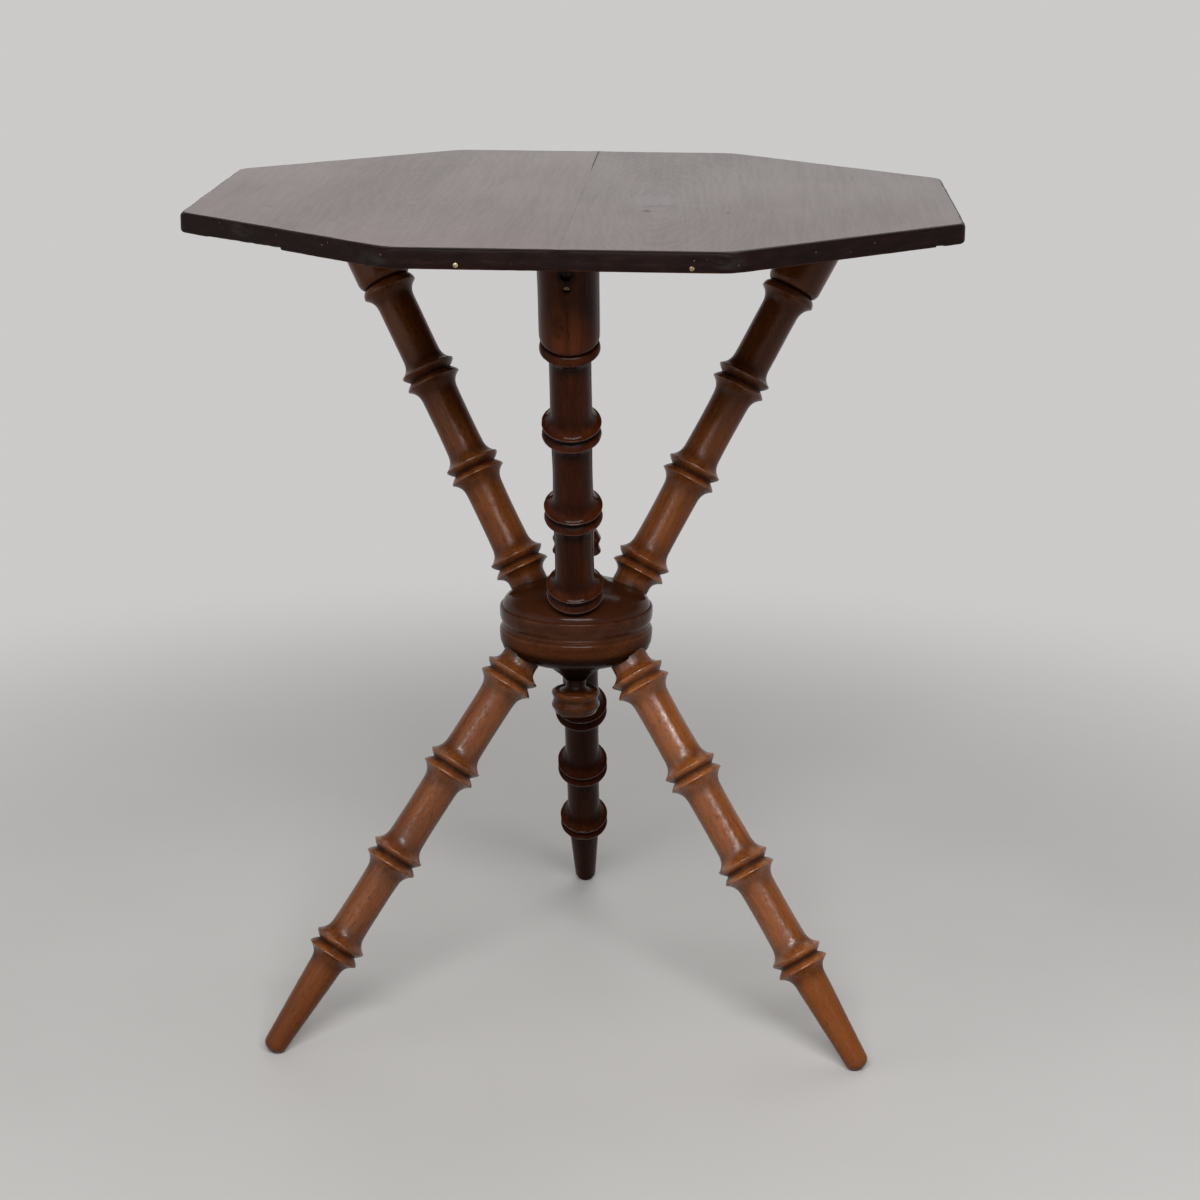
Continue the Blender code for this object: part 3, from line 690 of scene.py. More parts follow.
def board_corners(side):
    """Corners of one board, counter-clockwise, and how much each is rounded."""
    joint = BOARD_JOINT_OFFSET + side * JOINT_GAP / 2
    right = [(joint, -TOP_APOTHEM), (side * TOP_FRONT_HALF, -TOP_APOTHEM),
             (side * TOP_APOTHEM, -TOP_SIDE_HALF), (side * TOP_APOTHEM, TOP_SIDE_HALF),
             (side * TOP_FRONT_HALF, TOP_APOTHEM), (joint, TOP_APOTHEM)]
    rounding = [JOINT_ARRIS] + [CORNER_RADIUS] * 4 + [JOINT_ARRIS]
    corners = list(zip(right, rounding))
    return corners if side > 0 else corners[::-1]


def outline(side):
    """Places and inward normals round a board."""
    corners = board_corners(side)
    path = []
    for index, (corner, radius) in enumerate(corners):
        here = Vector(corner)
        following, next_radius = corners[index + 1 - len(corners)]
        before = (Vector(corners[index - 1][0]) - here).normalized()
        after = (Vector(following) - here).normalized()
        half_angle = before.angle(after) / 2
        reach = radius / math.tan(half_angle)
        centre = here + (before + after).normalized() * (radius / math.sin(half_angle))
        first = here + before * reach - centre
        turn = math.pi - 2 * half_angle
        for step in range(CORNER_STEPS + 1):
            arm = first.copy()
            arm.rotate(Matrix.Rotation(turn * step / CORNER_STEPS, 2))
            path.append((centre + arm, -arm.normalized()))
        start = here + after * reach
        far = (Vector(following) - start).length - next_radius * CORNER_CLEARANCE
        pieces = max(int(far / EDGE_STEP), 1)
        inward = Vector((-after.y, after.x))
        for step in range(1, pieces):
            path.append((start + after * (far * step / pieces), inward))
    return path


def share_of(value, low, high):
    """How far a value lies between two others, from 0 to 1."""
    return min(max((value - low) / (high - low), 0), 1)


def arris_sizes(place, side):
    """Upper rounding, lower height and lower inset of the edge at a place of a board's outline."""
    x, y = place
    wear = noise.noise(Vector((x / WEAR_LENGTH, y / WEAR_LENGTH, WEAR_SLICE * side)))
    fine = noise.noise(Vector((x / FINE_WEAR_LENGTH, y / FINE_WEAR_LENGTH, FINE_WEAR_SLICE + side)))
    corners = [Vector(spot) for spot, radius in board_corners(side) if radius > JOINT_ARRIS]
    corner = max(1 - min((place - spot).length for spot in corners) / CORNER_WEAR, 0)
    upper, lower = [size * (1 + by_wear * wear + by_fine * fine) * (1 + by_corner * corner)
                    for size, by_wear, by_fine, by_corner in ARRIS_SIZES]
    upper = min(upper, LARGEST_ARRIS)
    inset = lower
    for start, end, start_size, end_size in CHIPS:
        run = Vector(end) - Vector(start)
        share = (place - Vector(start)).dot(run) / run.length_squared
        away = (place - Vector(start) - share * run).length
        size = (start_size + (end_size - start_size) * share) * (1 + CHIP_UNEVEN * fine)
        if 0 < share < 1 and away < CHIP_DISTANCE and size > lower:
            lower = min(size, LARGEST_CHIP)
            inset = CHIP_INSET * lower
    nick = max(noise.noise(Vector((0, y / NICK_LENGTH, NICK_SLICE))) - NICK_START, 0)
    opened = max(share_of(y, *OPEN_JOINT_FROM), NICK_SHARE * nick)
    joint = TIGHT_JOINT + OPEN_JOINT * opened
    away = share_of(abs(x - BOARD_JOINT_OFFSET), *JOINT_FADE)
    return [joint + (size - joint) * away for size in (upper, lower, inset)]


def make_board(node, side, materials):
    """One board of the top, with worn arrises and small chips."""
    verts = []
    crest = []
    along = []
    length = 0.0
    previous = None
    for place, inward in outline(side):
        length += (place - previous).length if previous else 0.0
        previous = place
        upper, lower, lower_inset = arris_sizes(place, side)
        section = [(upper * run, upper * depth, worn) for run, depth, worn in ARRIS]
        section += [(0, depth, 0) for depth in SIDE_DEPTHS]
        section += [(lower_inset * run, TOP_THICKNESS - lower * depth, worn) for depth, run, worn in ARRIS]
        for inset, depth, worn in section:
            verts.append((*(place + inward * inset), TABLE_HEIGHT - depth))
            crest.append(worn)
            along.append(length)
    rows = np.arange(len(verts)).reshape(-1, len(section)).tolist()
    faces = []
    for low, high in zip(rows, rows[1:] + rows[:1]):
        faces += zip(low, low[1:], high[1:], high)
    faces += [[row[0] for row in rows], [row[-1] for row in rows[::-1]]]
    piece = new_object(node + "_fine", new_mesh(node + "_fine", verts, faces, crest=crest, along=along))
    places = [(x, -TOP_APOTHEM, TACK_HEIGHT) for x in TACK_PLACES if (x - BOARD_JOINT_OFFSET) * side > 0]
    carve(piece, [rod(-POCKET_REACH, TACK_HOLE_DEPTH, TACK_HOLE_RADIUS, FASTENER_SEGMENTS,
                      place, (math.radians(-90), 0, 0)) for place in places])
    shade(piece.data)
    for face in piece.data.polygons:
        up = face.normal.z
        face.use_smooth = abs(up) <= FLAT_FACE
        face.material_index = 0 if up > TOP_FACE else 2 if up < LOW_FACE else 1
    dress(piece, node, *materials)


class Value:
    """Output of a shader node, ready for sums."""

    def __init__(self, look, socket):
        self.look = look
        self.socket = socket

    def __add__(self, other):
        return self.look.sum("ADD", self, other)

    def __sub__(self, other):
        return self.look.sum("SUBTRACT", self, other)

    def __mul__(self, other):
        return self.look.sum("MULTIPLY", self, other)

    def most(self, other):
        """The greater of two numbers."""
        return self.look.sum("MAXIMUM", self, other)

    def span(self, low, high, to_low=0.0, to_high=1.0):
        """Number carried over from one range to another, held at its ends."""
        inputs = {"Value": self, "From Min": low, "From Max": high, "To Min": to_low, "To Max": to_high}
        return self.look.add("MapRange", inputs, "Result", interpolation_type="SMOOTHSTEP")


class Look:
    """Material or world under construction, with the colour that it has so far."""

    def __init__(self, owner, coordinates="Object"):
        owner.use_nodes = True
        self.owner = owner
        self.tree = owner.node_tree
        self.place = self.add("TexCoord", {}, coordinates)
        self.colour = None

    def add(self, kind, inputs, output=0, **settings):
        """Output of a new node, with some of its settings changed and its inputs fed."""
        node = self.tree.nodes.new("ShaderNode" + kind)
        for key, value in settings.items():
            setattr(node, key, value)
        self.feed(node, inputs)
        return Value(self, node.outputs[output])

    def feed(self, node, inputs):
        """Link or set some of a node's inputs."""
        for key, value in inputs.items():
            socket = node.inputs[key]
            if isinstance(value, Value):
                self.tree.links.new(value.socket, socket)
            else:
                socket.default_value = (*value, 1) if socket.type == "RGBA" else value

    def sum(self, operation, first, second=0.0, clamp=False):
        """Arithmetic on one or two numbers."""
        return self.add("Math", {0: first, 1: second}, operation=operation, use_clamp=clamp)

    def moved(self, vector, offset=(0, 0, 0), scale=(1, 1, 1)):
        """Coordinates scaled and shifted."""
        return self.add("Mapping", {"Vector": vector, "Location": offset, "Scale": scale})

    def seen_from(self, vector, place, turn=(0, 0, 0), size=(1, 1, 1)):
        """Coordinates as a placed, turned and sized thing has them."""
        inputs = {"Vector": vector, "Location": place, "Rotation": turn, "Scale": size}
        return self.add("Mapping", inputs, vector_type="TEXTURE")

    def length(self, vector):
        """Length of a vector."""
        return self.add("VectorMath", {0: vector}, "Value", operation="LENGTH")

    def parts(self, vector):
        """The three numbers of a vector."""
        node = self.add("SeparateXYZ", {0: vector}).socket.node
        return [Value(self, socket) for socket in node.outputs]

    def spot(self, vector, place, size, turn=0.0, soft=0.35):
        """Oval mask, 1 in its middle and 0 from its rim on."""
        return self.length(self.seen_from(vector, place, (0, 0, turn), size)).span(soft, 1.0, 1.0, 0.0)

    def cloud(self, vector, scale, detail=3.0, roughness=0.55, distortion=0.0):
        """Noise from 0 to 1."""
        inputs = {"Vector": vector, "Scale": scale, "Detail": detail, "Roughness": roughness,
                  "Distortion": distortion}
        return self.add("TexNoise", inputs, "Fac")

    def clouds(self, vector, stretch, table):
        """Noises for the rows of a table, each drawn out by its share of the stretch."""
        noises = []
        for share, *shape in table.values():
            scale = [1 - share + share * size for size in stretch]
            noises.append(self.cloud(self.moved(vector, scale=scale), *shape))
        return noises

    def cells(self, vector, scale):
        """Distance from scattered points."""
        inputs = {"Vector": vector, "Scale": scale}
        return self.add("TexVoronoi", inputs, "Distance", feature="F1")

    def attribute(self, name):
        """Number stored on the mesh."""
        return self.add("Attribute", {}, "Fac", attribute_name=name)

    def mix(self, share, first, second):
        """Two colours mixed."""
        return self.add("Mix", {"Factor": share, 6: first, 7: second}, 2, data_type="RGBA")

    def ramp(self, value, stops):
        """Begin with colours along a number."""
        self.colour = self.add("ValToRGB", {"Fac": value}, "Color")
        elements = self.colour.socket.node.color_ramp.elements
        for index in (0, -1):
            elements[index].position = stops[index][0]
            elements[index].color = (*stops[index][1], 1)
        for position, colour in stops[1:-1]:
            elements.new(position).color = (*colour, 1)

    def paint(self, share, colour):
        """Lay a share of another colour over the colour so far."""
        self.colour = self.mix(share, self.colour, colour)

    def finish(self, roughness, specular=0.5, metallic=0.0, relief=None, alpha=1.0):
        """Material with its shader connected. The relief is a height, its distance and its strength."""
        shader = self.tree.nodes["Principled BSDF"]
        self.feed(shader, {"Base Color": self.colour, "Roughness": roughness, "Alpha": alpha,
                           "Specular IOR Level": specular, "Metallic": metallic})
        if relief:
            inputs = dict(zip(("Height", "Distance", "Strength"), relief))
            self.feed(shader, {"Normal": self.add("Bump", inputs)})
        return self.owner


def new_look(name):
    """New material."""
    return Look(bpy.data.materials.new(name))


# Tones of the turned wood: dark grain, middle, light grain, dirt and painted shade, and rubbed crest
# The dark tones are a darker copy of the stain: painted shade on the front arm and back leg; the upper
# finial uses them as well
SHADE_DARK_TONES = ((0.028, 0.0056, 0.0015), (0.049, 0.0105, 0.0026), (0.076, 0.0185, 0.0048),
              (0.0065, 0.0020, 0.0010), (0.076, 0.0200, 0.0060))
MID_TONES = ((0.115, 0.0285, 0.0062), (0.195, 0.0560, 0.0130), (0.270, 0.0870, 0.0220),
             (0.0150, 0.0045, 0.0018), (0.330, 0.1280, 0.0420))
LIGHT_TONES = ((0.185, 0.0480, 0.0095), (0.290, 0.0850, 0.0180), (0.375, 0.1250, 0.0300),
               (0.0220, 0.0065, 0.0024), (0.450, 0.1800, 0.0600))
BOSS_TONES = ((0.041, 0.0118, 0.0046), (0.086, 0.0252, 0.0084), (0.125, 0.0400, 0.0140),
              (0.0080, 0.0024, 0.0011), (0.150, 0.0520, 0.0200))
PENDANT_TONES = ((0.042, 0.0100, 0.0024), (0.095, 0.0255, 0.0058), (0.170, 0.0520, 0.0130),
                 (0.0080, 0.0024, 0.0011), (0.270, 0.0960, 0.0310))

# Finish of each turned piece: tones, roughness, specular level, relief, contrast of its grain and seed
FINISHES = {
    "arm_front": (SHADE_DARK_TONES, 0.13, 0.06, 0.15, 0.9, 1),
    "arm_back_left": (MID_TONES, 0.25, 0.18, 0.8, 0.9, 2),
    "arm_back_right": (MID_TONES, 0.25, 0.22, 0.8, 0.9, 3),
    "leg_back": (SHADE_DARK_TONES, 0.16, 0.03, 0.2, 0.9, 4),
    "leg_front_left": (MID_TONES, 0.24, 0.40, 1.0, 0.9, 5),
    "leg_front_right": (LIGHT_TONES, 0.24, 0.54, 1.0, 0.9, 6),
    "upper_finial": (SHADE_DARK_TONES, 0.20, 0.10, 0.2, 0.6, 7),
    "pendant_finial": (PENDANT_TONES, 0.19, 0.16, 0.35, 1.0, 8),
    "boss": (BOSS_TONES, 0.16, 0.12, 0.15, 0.6, 9),
}

# Parts of a turned piece with materials of their own, by the first word of its name
PARTS = {"leg": ("wood", "rim", "foot"), "arm": ("wood", "rim"), "boss": ("wood", "underside")}

# Roughness, and lowest and highest specular level, of the parts that differ from plain wood
PART_FINISHES = {"rim": (0.20, 0.42, 0.42), "foot": (0.27, 0.0, 0.20), "underside": (0.22, 0.0, 0.035)}

# Noise in turned wood: how far it follows the grain, scale, detail, roughness and distortion
WOOD_NOISE = {
    "fibre": (1.0, 420, 5.0, 0.62),
    "figure": (1.0, 95, 3.0, 0.5, 0.6),
    "patch": (0.45, 30),
    "pores": (0.85, 850),
    "ripple": (0.0, 170),
    "speckle": (0.65, 560, 2.0, 0.6),
}
ALONG = (1, 1, 0.07)
ACROSS = (0.07, 1, 1)
GRAIN_STEP = (0.31, 0.17, 0.53)
GRAIN_HALF_RANGE = 0.16
SPOT_SCALE = 70
SPOT_PICK_SCALE = 40
FOOT_TONE_HEIGHTS = (0.045, 0.085)
# Painted light on the front arm's cap, where the top's shadow falls: its tone and the rise over which it
# sets in
CAP_PAINTED_LIGHT = (0.150, 0.0380, 0.0110)
CAP_LIGHT_RISE = 0.006

# Levels from the boss's middle between which its low dome, upper band and upper dome change tone; the low
# dome and upper dome darken as painted shade
LOW_DOME_SHADE = (-0.018, -0.010)
UPPER_BAND_TONE = (0.003, 0.008)
UPPER_DOME_SHADE = (0.013, 0.016)

# Grime round the holes, and the crack and blot on the front arm: reach, and place down from the top
HOLE_GRIME = ((SCREW_HOLE, 0.0105), (NAIL_HOLE, 0.0052))
CRACK_STRAY = 0.0018
CRACK_EDGE = (0.0001, 0.00045)
CRACK_STARTS = (0.062, 0.055)
CRACK_ENDS = (0.036, 0.030)
CRACK_SIDE = 0.005
BLOT_SIDE = -0.0075
BLOT_DOWN = 0.047
BLOT_SIZE = (0.012, 0.0065, 0.015)


def hole_marks(look, node, local, ripple):
    """Grime round an arm's screw and nail, and a crack and a blot below them on the front arm."""
    axis = ARMS[node]
    ragged = ripple.span(0.3, 0.7, 0.35, 1.25)
    marks = []
    for hole, reach in HOLE_GRIME:
        place = hole_place(axis, hole["from_top"], 0.0)
        spot = look.spot(look.place, place, (reach, reach, reach), soft=0.40)
        marks.append(look.sum("MULTIPLY", spot, ragged, clamp=True))
    marks = marks[0].most(marks[1])
    if node != "arm_front":
        return marks
    x, y, z = look.parts(local)
    bend = look.cloud(local, 90, 2.0).span(0.0, 1.0, -CRACK_STRAY, CRACK_STRAY)
    crack = look.sum("ABSOLUTE", y + bend).span(*CRACK_EDGE, 0.85, 0.0) * x.span(0.0, CRACK_SIDE)
    crack *= z.span(*[axis.end - down for down in CRACK_STARTS])
    crack *= z.span(*[axis.end - down for down in CRACK_ENDS], 1.0, 0.0)
    blot = look.spot(local, (CAP_RADIUS, BLOT_SIDE, axis.end - BLOT_DOWN), BLOT_SIZE, soft=0.5)
    return marks.most(crack).most(blot * ripple.span(0.35, 0.65, 0.25, 0.6))


def turned_finish(node, part):
    """Stained and polished turned wood: grain along a stick, or across a turning, with dirt and painted
    shade in its recesses, painted shade on the boss's domes and painted light on the front arm's cap.
    """
    (dark, middle, light, dirt_and_shade, rubbed), roughness, specular, relief, contrast, seed = FINISHES[node]
    if part in PART_FINISHES:
        roughness, lowest, highest = PART_FINISHES[part]
        specular = min(max(specular, lowest), highest)
    look = new_look(node + "_" + part)
    local = look.place
    axis = STICKS.get(node)
    if axis:
        local = look.seen_from(look.place, (0, 0, axis.aim), (0, axis.tilt, axis.azimuth))
    place = look.moved(local, offset=[step * seed for step in GRAIN_STEP])
    noises = look.clouds(place, ALONG if axis else ACROSS, WOOD_NOISE)
    fibre, figure, patch, pores, ripple, speckle = noises
    half = GRAIN_HALF_RANGE / contrast
    look.ramp(fibre * 0.5 + figure * 0.5, ((0.5 - half, dark), (0.5, middle), (0.5 + half, light)))
    look.paint(patch.span(0.44, 0.74, 0.0, 0.6 * contrast), dark)
    pores = pores.span(0.58, 0.68, 0.0, 0.6 * contrast)
    look.paint(pores, dirt_and_shade)
    spots = look.cells(place, SPOT_SCALE).span(0.05, 0.11, 1.0, 0.0)
    spots *= look.cloud(place, SPOT_PICK_SCALE, 1.0).span(0.58, 0.63, 0.0, 0.75)
    look.paint(spots, dirt_and_shade)
    uneven = ripple.span(0.25, 0.75, 0.75, 1.2)
    grime_and_shade = look.sum("MULTIPLY", look.attribute("recess"), uneven, clamp=True)
    crest = look.attribute("crest")
    look.paint(crest * figure.span(0.36, 0.62, 0.0, 0.55 * relief), rubbed)
    # Painted shade and dirt in the recesses: grooves, hollows by the rings, quirks, and dirt at the joints
    look.paint(grime_and_shade * 0.9, dirt_and_shade)
    height = look.parts(look.place)[2]
    if node in LEGS:
        look.paint(height.span(*FOOT_TONE_HEIGHTS, 0.5, 0.0), dark)
    # Painted shade on the boss: the low dome darkens downwards and the upper dome upwards; the upper band
    # darkens in a mottle
    if node == "boss":
        level = height - BOSS_MID_HEIGHT
        look.paint(level.span(*LOW_DOME_SHADE, 0.9, 0.0), dirt_and_shade)
        look.paint(level.span(*UPPER_BAND_TONE) * figure.span(0.38, 0.62, 0.8, 0.3), dark)
        look.paint(level.span(*UPPER_DOME_SHADE, 0.0, 0.8), dark)
    # Painted light: the front arm's cap is lightened where the top shades it
    if node == "arm_front":
        cap = look.parts(local)[2].span(axis.groove, axis.groove + CAP_LIGHT_RISE)
        look.paint(cap * figure.span(0.38, 0.62, 0.25, 0.65), CAP_PAINTED_LIGHT)
    if node in ARMS:
        marks = hole_marks(look, node, local, ripple)
        look.paint(marks, dirt_and_shade)
        grime_and_shade = grime_and_shade.most(marks)
    rough = patch.span(0.3, 0.7, roughness - 0.03, roughness + 0.04) + grime_and_shade * 0.22 - crest * 0.05
    rough += speckle.span(0.35, 0.65, -0.08 * relief, 0.10 * relief)
    shape = ripple * 0.9 + speckle * 0.9 - (pores + spots) * 0.25
    return look.finish(rough, specular, relief=(shape, 0.0003, 0.65 * relief))


# Noise in a board: how far it follows the grain, scale, detail, roughness and distortion
BOARD_NOISE = {
    "streak": (0.95, 70, 3.0, 0.55, 0.4),
    "fibre": (0.97, 430, 5.0, 0.62),
    "pores": (0.94, 1300, 2.0, 0.5),
    "patch": (0.5, 9),
}
FRONT_TO_BACK = (1, 0, 1)
BOARD_STEP = (0.9, 0.3, 0)


def board_grain(look, seed):
    """Grain, fibres, pores and patches of a board that runs front to back."""
    place = look.moved(look.place, offset=[step * seed for step in BOARD_STEP])
    streak, fibre, pores, patch = look.clouds(place, FRONT_TO_BACK, BOARD_NOISE)
    return fibre * 0.65 + streak * 0.35, fibre, pores.span(0.60, 0.68, 0.0, 0.5), patch


# Tones of the polished top: grain, patches, quilted figure, pores, bruises, bloom and worn arris
TOP_GRAIN = ((0.34, (0.070, 0.0205, 0.0185)), (0.5, (0.094, 0.0295, 0.0262)),
             (0.66, (0.122, 0.0410, 0.0360)))
TOP_PATCHES = (0.064, 0.0195, 0.0178)
TOP_QUILT = (0.135, 0.0520, 0.0470)
TOP_PORES = (0.020, 0.0085, 0.0075)
TOP_BRUISES = (0.006, 0.0036, 0.0034)
TOP_BLOOM = (0.088, 0.0620, 0.0650)
TOP_WORN = (0.0150, 0.0085, 0.0090)

# Arcs of the grain in each board: their middle, reach, number and strength, and the board's tint
ARCS = {
    "top_board_left": ((-0.125, 0.030, TABLE_HEIGHT), (0.150, 0.700, 1), 24, 0.35, (0.135, 0.0370, 0.0310)),
    "top_board_right": ((0.064, -0.043, TABLE_HEIGHT), (0.110, 0.620, 1), 22, 0.6, (0.070, 0.0245, 0.0230)),
}
ARC_BEND = 0.08
ARC_FADE = (0.30, 1.2)
ARC_COLOUR = 0.09
ARC_RELIEF = 0.55
TINT_SHARE = 0.26
QUILT_TURN = (0, 0, 0.6)
QUILT_STRETCH = (1, 2.6, 1)

# Marks in the polish of the top: place, size, turn and share
DARK_MARKS = (
    ((0.053, -0.0875), (0.0048, 0.0080), 0.3, 0.95),
    ((0.112, -0.092), (0.0017, 0.0055), -0.2, 0.85),
    ((-0.098, -0.044), (0.0030, 0.0080), 0.2, 0.30),
    ((-0.222, -0.090), (0.0040, 0.0140), 0.6, 0.30),
    ((-0.214, -0.081), (0.0025, 0.0110), 0.9, 0.25),
    ((0.0695, -0.243), (0.0014, 0.0290), -1.15, 0.50),
    ((0.060, -0.062), (0.0240, 0.0050), 0.1, 0.25),
)
PALE_MARKS = (
    ((0.0600, -0.0300), (0.0300, 0.0330), 0.0, 0.55),
    ((0.0900, -0.0560), (0.0200, 0.0120), 0.2, 0.35),
)


def top_finish(name, seed):
    """Dark polished face of a board, with a knot, bruises and rubbed places."""
    look = new_look(name + "_polish")
    grain, fibre, pores, patch = board_grain(look, seed)
    middle, size, count, strength, tint = ARCS[name]
    bend = look.cloud(look.moved(look.place, scale=(1, 0.3, 1)), 22, 2.0).span(0, 1, -ARC_BEND, ARC_BEND)
    reach = look.length(look.seen_from(look.place, middle, size=size)) + bend
    arcs = look.sum("SINE", reach * (math.tau * count)) * reach.span(*ARC_FADE, strength, 0.0)
    grain += arcs * ARC_COLOUR
    look.ramp(grain, TOP_GRAIN)
    look.paint(TINT_SHARE, tint)
    look.paint(patch.span(0.35, 0.7, 0.0, 0.35), TOP_PATCHES)
    quilt = look.cloud(look.seen_from(look.place, (0, 0, 0), QUILT_TURN, QUILT_STRETCH), 75, 3.0, 0.6, 0.5)
    look.paint(quilt.span(0.42, 0.62, 0.0, 0.45), TOP_QUILT)
    look.paint(pores, TOP_PORES)
    rough = patch.span(0.3, 0.7, 0.175, 0.215) + grain.span(0.35, 0.65, 0.020, -0.015)
    for marks, tone, rougher in ((DARK_MARKS, TOP_BRUISES, 0.10), (PALE_MARKS, TOP_BLOOM, -0.05)):
        for (x, y), (width, depth), turn, share in marks:
            mark = look.spot(look.place, (x, y, TABLE_HEIGHT), (width, depth, 1), turn) * share
            look.paint(mark, tone)
            rough += mark * rougher
    worn = look.attribute("crest").span(0.05, 0.6)
    look.paint(worn, TOP_WORN)
    shape = fibre * 0.5 - pores * 0.4 + arcs * ARC_RELIEF + quilt * 1.2
    return look.finish(rough + worn * 0.25, relief=(shape, 0.00006, 0.2))


# Edge of the top: tones of its smears, dust, specks and rubbed lower arris, and places of grey smears
EDGE_TONES = ((0.3, (0.0080, 0.0040, 0.0036)), (0.55, (0.0140, 0.0066, 0.0058)),
              (0.75, (0.027, 0.0125, 0.0110)))
EDGE_DUST = (0.034, 0.031, 0.030)
EDGE_SPECKS = (0.160, 0.115, 0.095)
EDGE_RUBBED = (0.105, 0.034, 0.016)
RUBBED_HEIGHTS = (UNDERSIDE + 0.0002, UNDERSIDE + 0.0016)
EDGE_SMEARS = ((-0.2265, -0.1775, 0.6445), (0.1150, -0.2800, 0.6430), (-0.1250, -0.2730, 0.6400))
SMEAR_SIZE = (0.017, 0.017, 0.007)


def edge_finish():
    """Near black, dusty edge of the top, rubbed red along its lower arris."""
    look = new_look("top_edge_wood")
    height = look.parts(look.place)[2]
    run = look.add("CombineXYZ", {0: look.attribute("along"), 1: height})
    smear = look.cloud(look.moved(run, scale=(0.25, 1, 1)), 210, 4.0, 0.6)
    look.ramp(smear, EDGE_TONES)
    for place in EDGE_SMEARS:
        look.paint(look.spot(look.place, place, SMEAR_SIZE) * smear.span(0.35, 0.65, 0.0, 0.6), EDGE_DUST)
    specks = look.cells(run, 150).span(0.07, 0.13, 0.7, 0.0)
    specks *= look.cloud(look.moved(run, offset=(0.37, 0.2, 0)), 95, 1.0).span(0.51, 0.56)
    look.paint(specks, EDGE_SPECKS)
    rubbed = look.attribute("crest") * height.span(*RUBBED_HEIGHTS, 1.0, 0.0)
    look.paint(rubbed * smear.span(0.35, 0.6, 0.2, 0.9), EDGE_RUBBED)
    return look.finish(smear.span(0.3, 0.7, 0.42, 0.56), 0.06, relief=(smear - specks * 0.3, 0.0002, 0.3))


# Tones of the bare wood under the top: grain, patches and pores
RAW_GRAIN = ((0.3, (0.060, 0.028, 0.0150)), (0.7, (0.140, 0.073, 0.038)))
RAW_PATCHES = (0.050, 0.025, 0.0150)
RAW_PORES = (0.020, 0.0100, 0.0065)


def underside_finish(name, seed):
    """Unpolished face under a board."""
    look = new_look(name + "_raw")
    grain, fibre, pores, patch = board_grain(look, seed)
    look.ramp(grain, RAW_GRAIN)
    look.paint(patch.span(0.4, 0.7, 0.0, 0.6), RAW_PATCHES)
    look.paint(pores, RAW_PORES)
    rough = patch.span(0.3, 0.7, 0.60, 0.70) + fibre.span(0.3, 0.7, -0.04, 0.06)
    return look.finish(rough, 0.3, relief=(fibre - pores, 0.0002, 0.3))


# Metal of each kind of fastener: name, clean and tarnished tone, roughness, and where tarnish sets in
METALS = {
    # The screw's tones are tarnish and, darker still, painted shade in its pocket
    "screw": ("shaded_old_steel", (0.060, 0.048, 0.040), (0.018, 0.010, 0.007), 0.46, 0.42),
    "nail": ("rusty_steel", (0.30, 0.24, 0.18), (0.075, 0.042, 0.024), 0.40, 0.48),
    "tack_left": ("old_brass", (0.60, 0.53, 0.29), (0.21, 0.160, 0.072), 0.42, 0.52),
    "tack_right": ("dull_brass", (0.52, 0.41, 0.26), (0.15, 0.095, 0.048), 0.46, 0.46),
}


def metal_finish(name, clean, stain, roughness, onset):
    """Old metal with patches of tarnish."""
    look = new_look(name)
    patch = look.cloud(look.place, 900, 4.0, 0.6)
    fine = look.cloud(look.place, 4200, 3.0, 0.6)
    look.colour = look.mix(patch.span(onset - 0.1, onset + 0.1), clean, stain)
    rough = patch.span(0.3, 0.7, roughness, roughness + 0.25) + fine.span(0.3, 0.7, 0, 0.1)
    return look.finish(rough, metallic=1.0, relief=(patch + fine * 0.4, 0.0001, 0.5))


def dress_metal():
    """Better materials for the screws, nails and tacks."""
    for kind, metal in METALS.items():
        material = metal_finish(*metal)
        for node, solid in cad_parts.items():
            if kind in node:
                solid.data.materials.clear()
                solid.data.materials.append(material)


# Stage
FLOOR_SIZE = 3.0
FLOOR_LEVEL = -0.0003
FLOOR_FADE = (0.50, 1.35)
FLOOR_SHOWN = ((0.3, (0.740, 0.725, 0.710)), (0.7, (0.780, 0.765, 0.750)))
FLOOR_BOUNCE = (0.135, 0.106, 0.080)
BACKDROP = (0.600, 0.592, 0.588)
CEILING = (0.070, 0.067, 0.064)
CEILING_SLOPE = (0.24, 0.55)
AMBIENT = (0.130, 0.126, 0.121)

# Lamps: place, target, width, height and watts
LIGHTS = {
    "key": ((0.20, -2.40, 2.00), (0, 0, 0.35), 2.2, 0.5, 68),
    "left_fill": ((-2.00, -1.30, 1.10), (0, 0, 0.40), 2.4, 2.4, 9),
    "back_fill": ((0.40, 1.60, 3.00), (0, 0, 0.35), 2.4, 2.4, 18),
}


def seen_rays(look):
    """1 for what the eye, a mirror or glass sees, 0 for light on its way."""
    rays = ("Is Camera Ray", "Is Glossy Ray", "Is Transmission Ray")
    camera, glossy, through = [look.add("LightPath", {}, ray) for ray in rays]
    return camera.most(glossy).most(through)


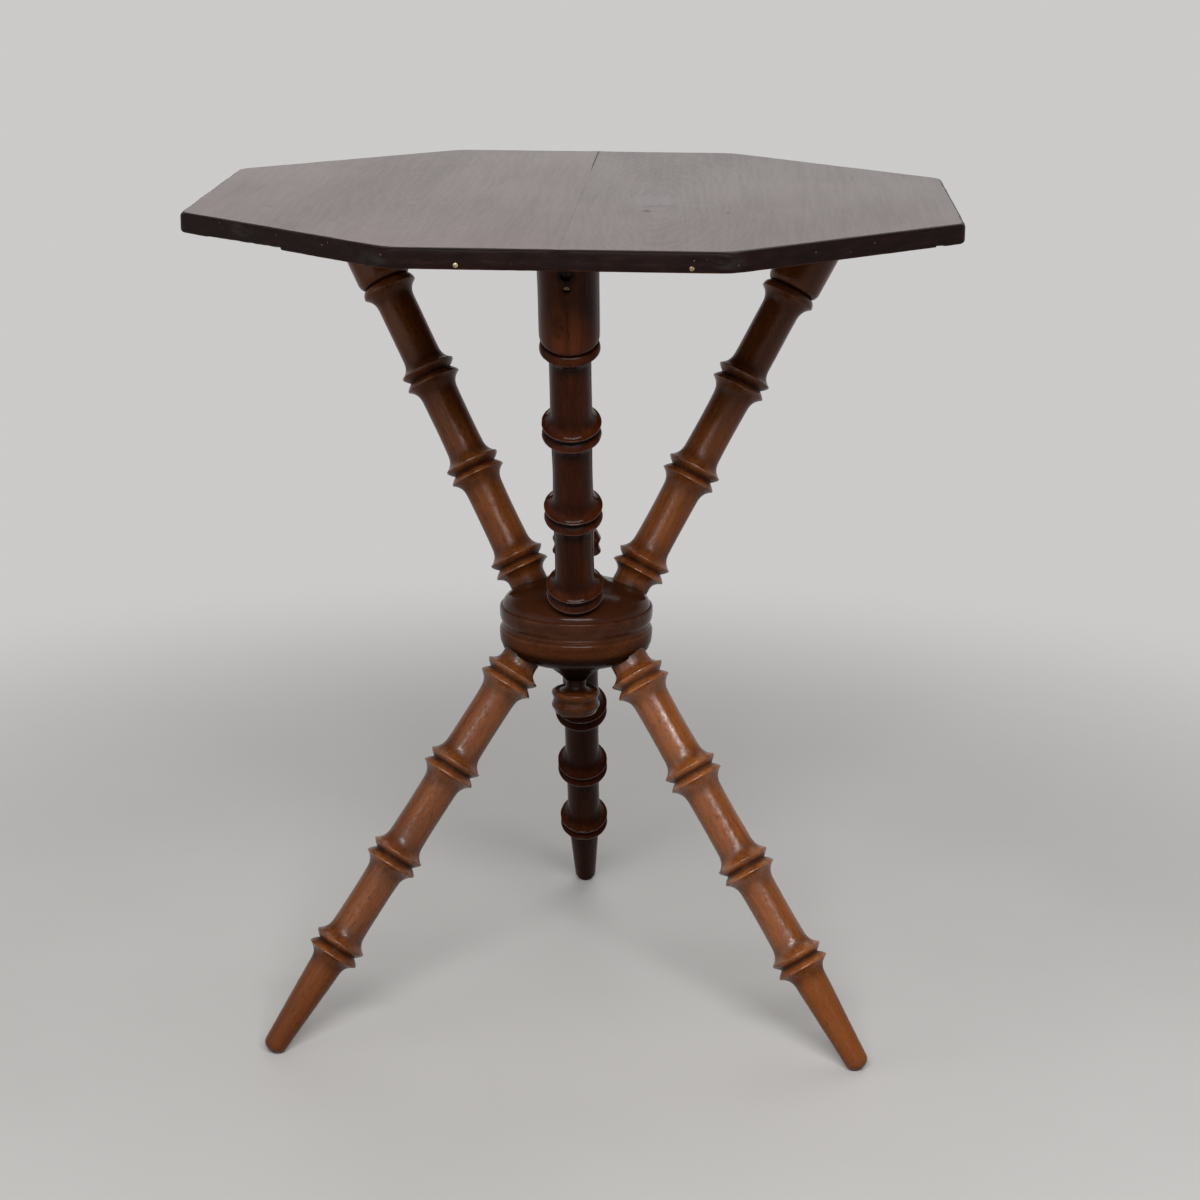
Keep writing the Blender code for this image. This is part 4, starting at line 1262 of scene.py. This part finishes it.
def make_stage():
    """Pale floor that fades into the background, and throws less light back than it shows."""
    s = FLOOR_SIZE
    mesh = new_mesh("floor", [(-s, -s, 0), (s, -s, 0), (s, s, 0), (-s, s, 0)], [(0, 1, 2, 3)])
    floor = new_object("floor", mesh, (0, 0, FLOOR_LEVEL))
    look = new_look("pale_floor")
    look.ramp(look.cloud(look.place, 3.0), FLOOR_SHOWN)
    look.colour = look.mix(seen_rays(look), FLOOR_BOUNCE, look.colour)
    fade = look.length(look.place).span(*FLOOR_FADE, 1.0, 0.0)
    mesh.materials.append(look.finish(0.6, 0.2, alpha=fade))


def make_world():
    """Pale walls and a dim ceiling for the eye and for mirrors, and a low even light."""
    look = Look(bpy.data.worlds.new("studio"), "Generated")
    above = look.parts(look.place)[2].span(*CEILING_SLOPE)
    colour = look.mix(seen_rays(look), AMBIENT, look.mix(above, BACKDROP, CEILING))
    look.feed(look.tree.nodes["Background"], {"Color": colour})
    bpy.context.scene.world = look.owner


def add_light(name, place, target, width, height, power):
    """Soft lamp."""
    lamp = bpy.data.lights.new(name, "AREA")
    lamp.shape = "RECTANGLE"
    lamp.size = width
    lamp.size_y = height
    lamp.energy = power
    aim = (Vector(target) - Vector(place)).to_track_quat("-Z", "Y")
    new_object(name, lamp, place, aim.to_euler())


def make_camera():
    """Camera where the photographer stood."""
    data = bpy.data.cameras.new("camera")
    data.sensor_width = SENSOR_WIDTH
    data.lens = SENSOR_WIDTH * FOCAL_PIXELS / IMAGE_SIZE
    camera = new_object("camera", data)
    aim = Matrix.Rotation(-CAMERA_YAW, 4, "Z") @ Matrix.Rotation(math.pi / 2 + CAMERA_PITCH, 4, "X")
    camera.matrix_world = Matrix.Translation(CAMERA_PLACE) @ aim @ Matrix.Rotation(CAMERA_ROLL, 4, "Z")
    bpy.context.scene.camera = camera


def main():
    """Dress the table and its surroundings."""
    finishes = {}
    for node in FINISHES:
        parts = PARTS.get(node.split("_")[0], ("wood",))
        finishes[node] = [turned_finish(node, part) for part in parts]
    make_sticks(finishes)
    make_boss(finishes["boss"])
    make_finials(finishes)
    edge = edge_finish()
    for node, side in (("top_board_left", -1), ("top_board_right", 1)):
        make_board(node, side, (top_finish(node, side), edge, underside_finish(node, side)))
    dress_metal()
    make_stage()
    make_world()
    for name, settings in LIGHTS.items():
        add_light(name, *settings)
    make_camera()
    bpy.context.scene.view_settings.view_transform = "Standard"


main()
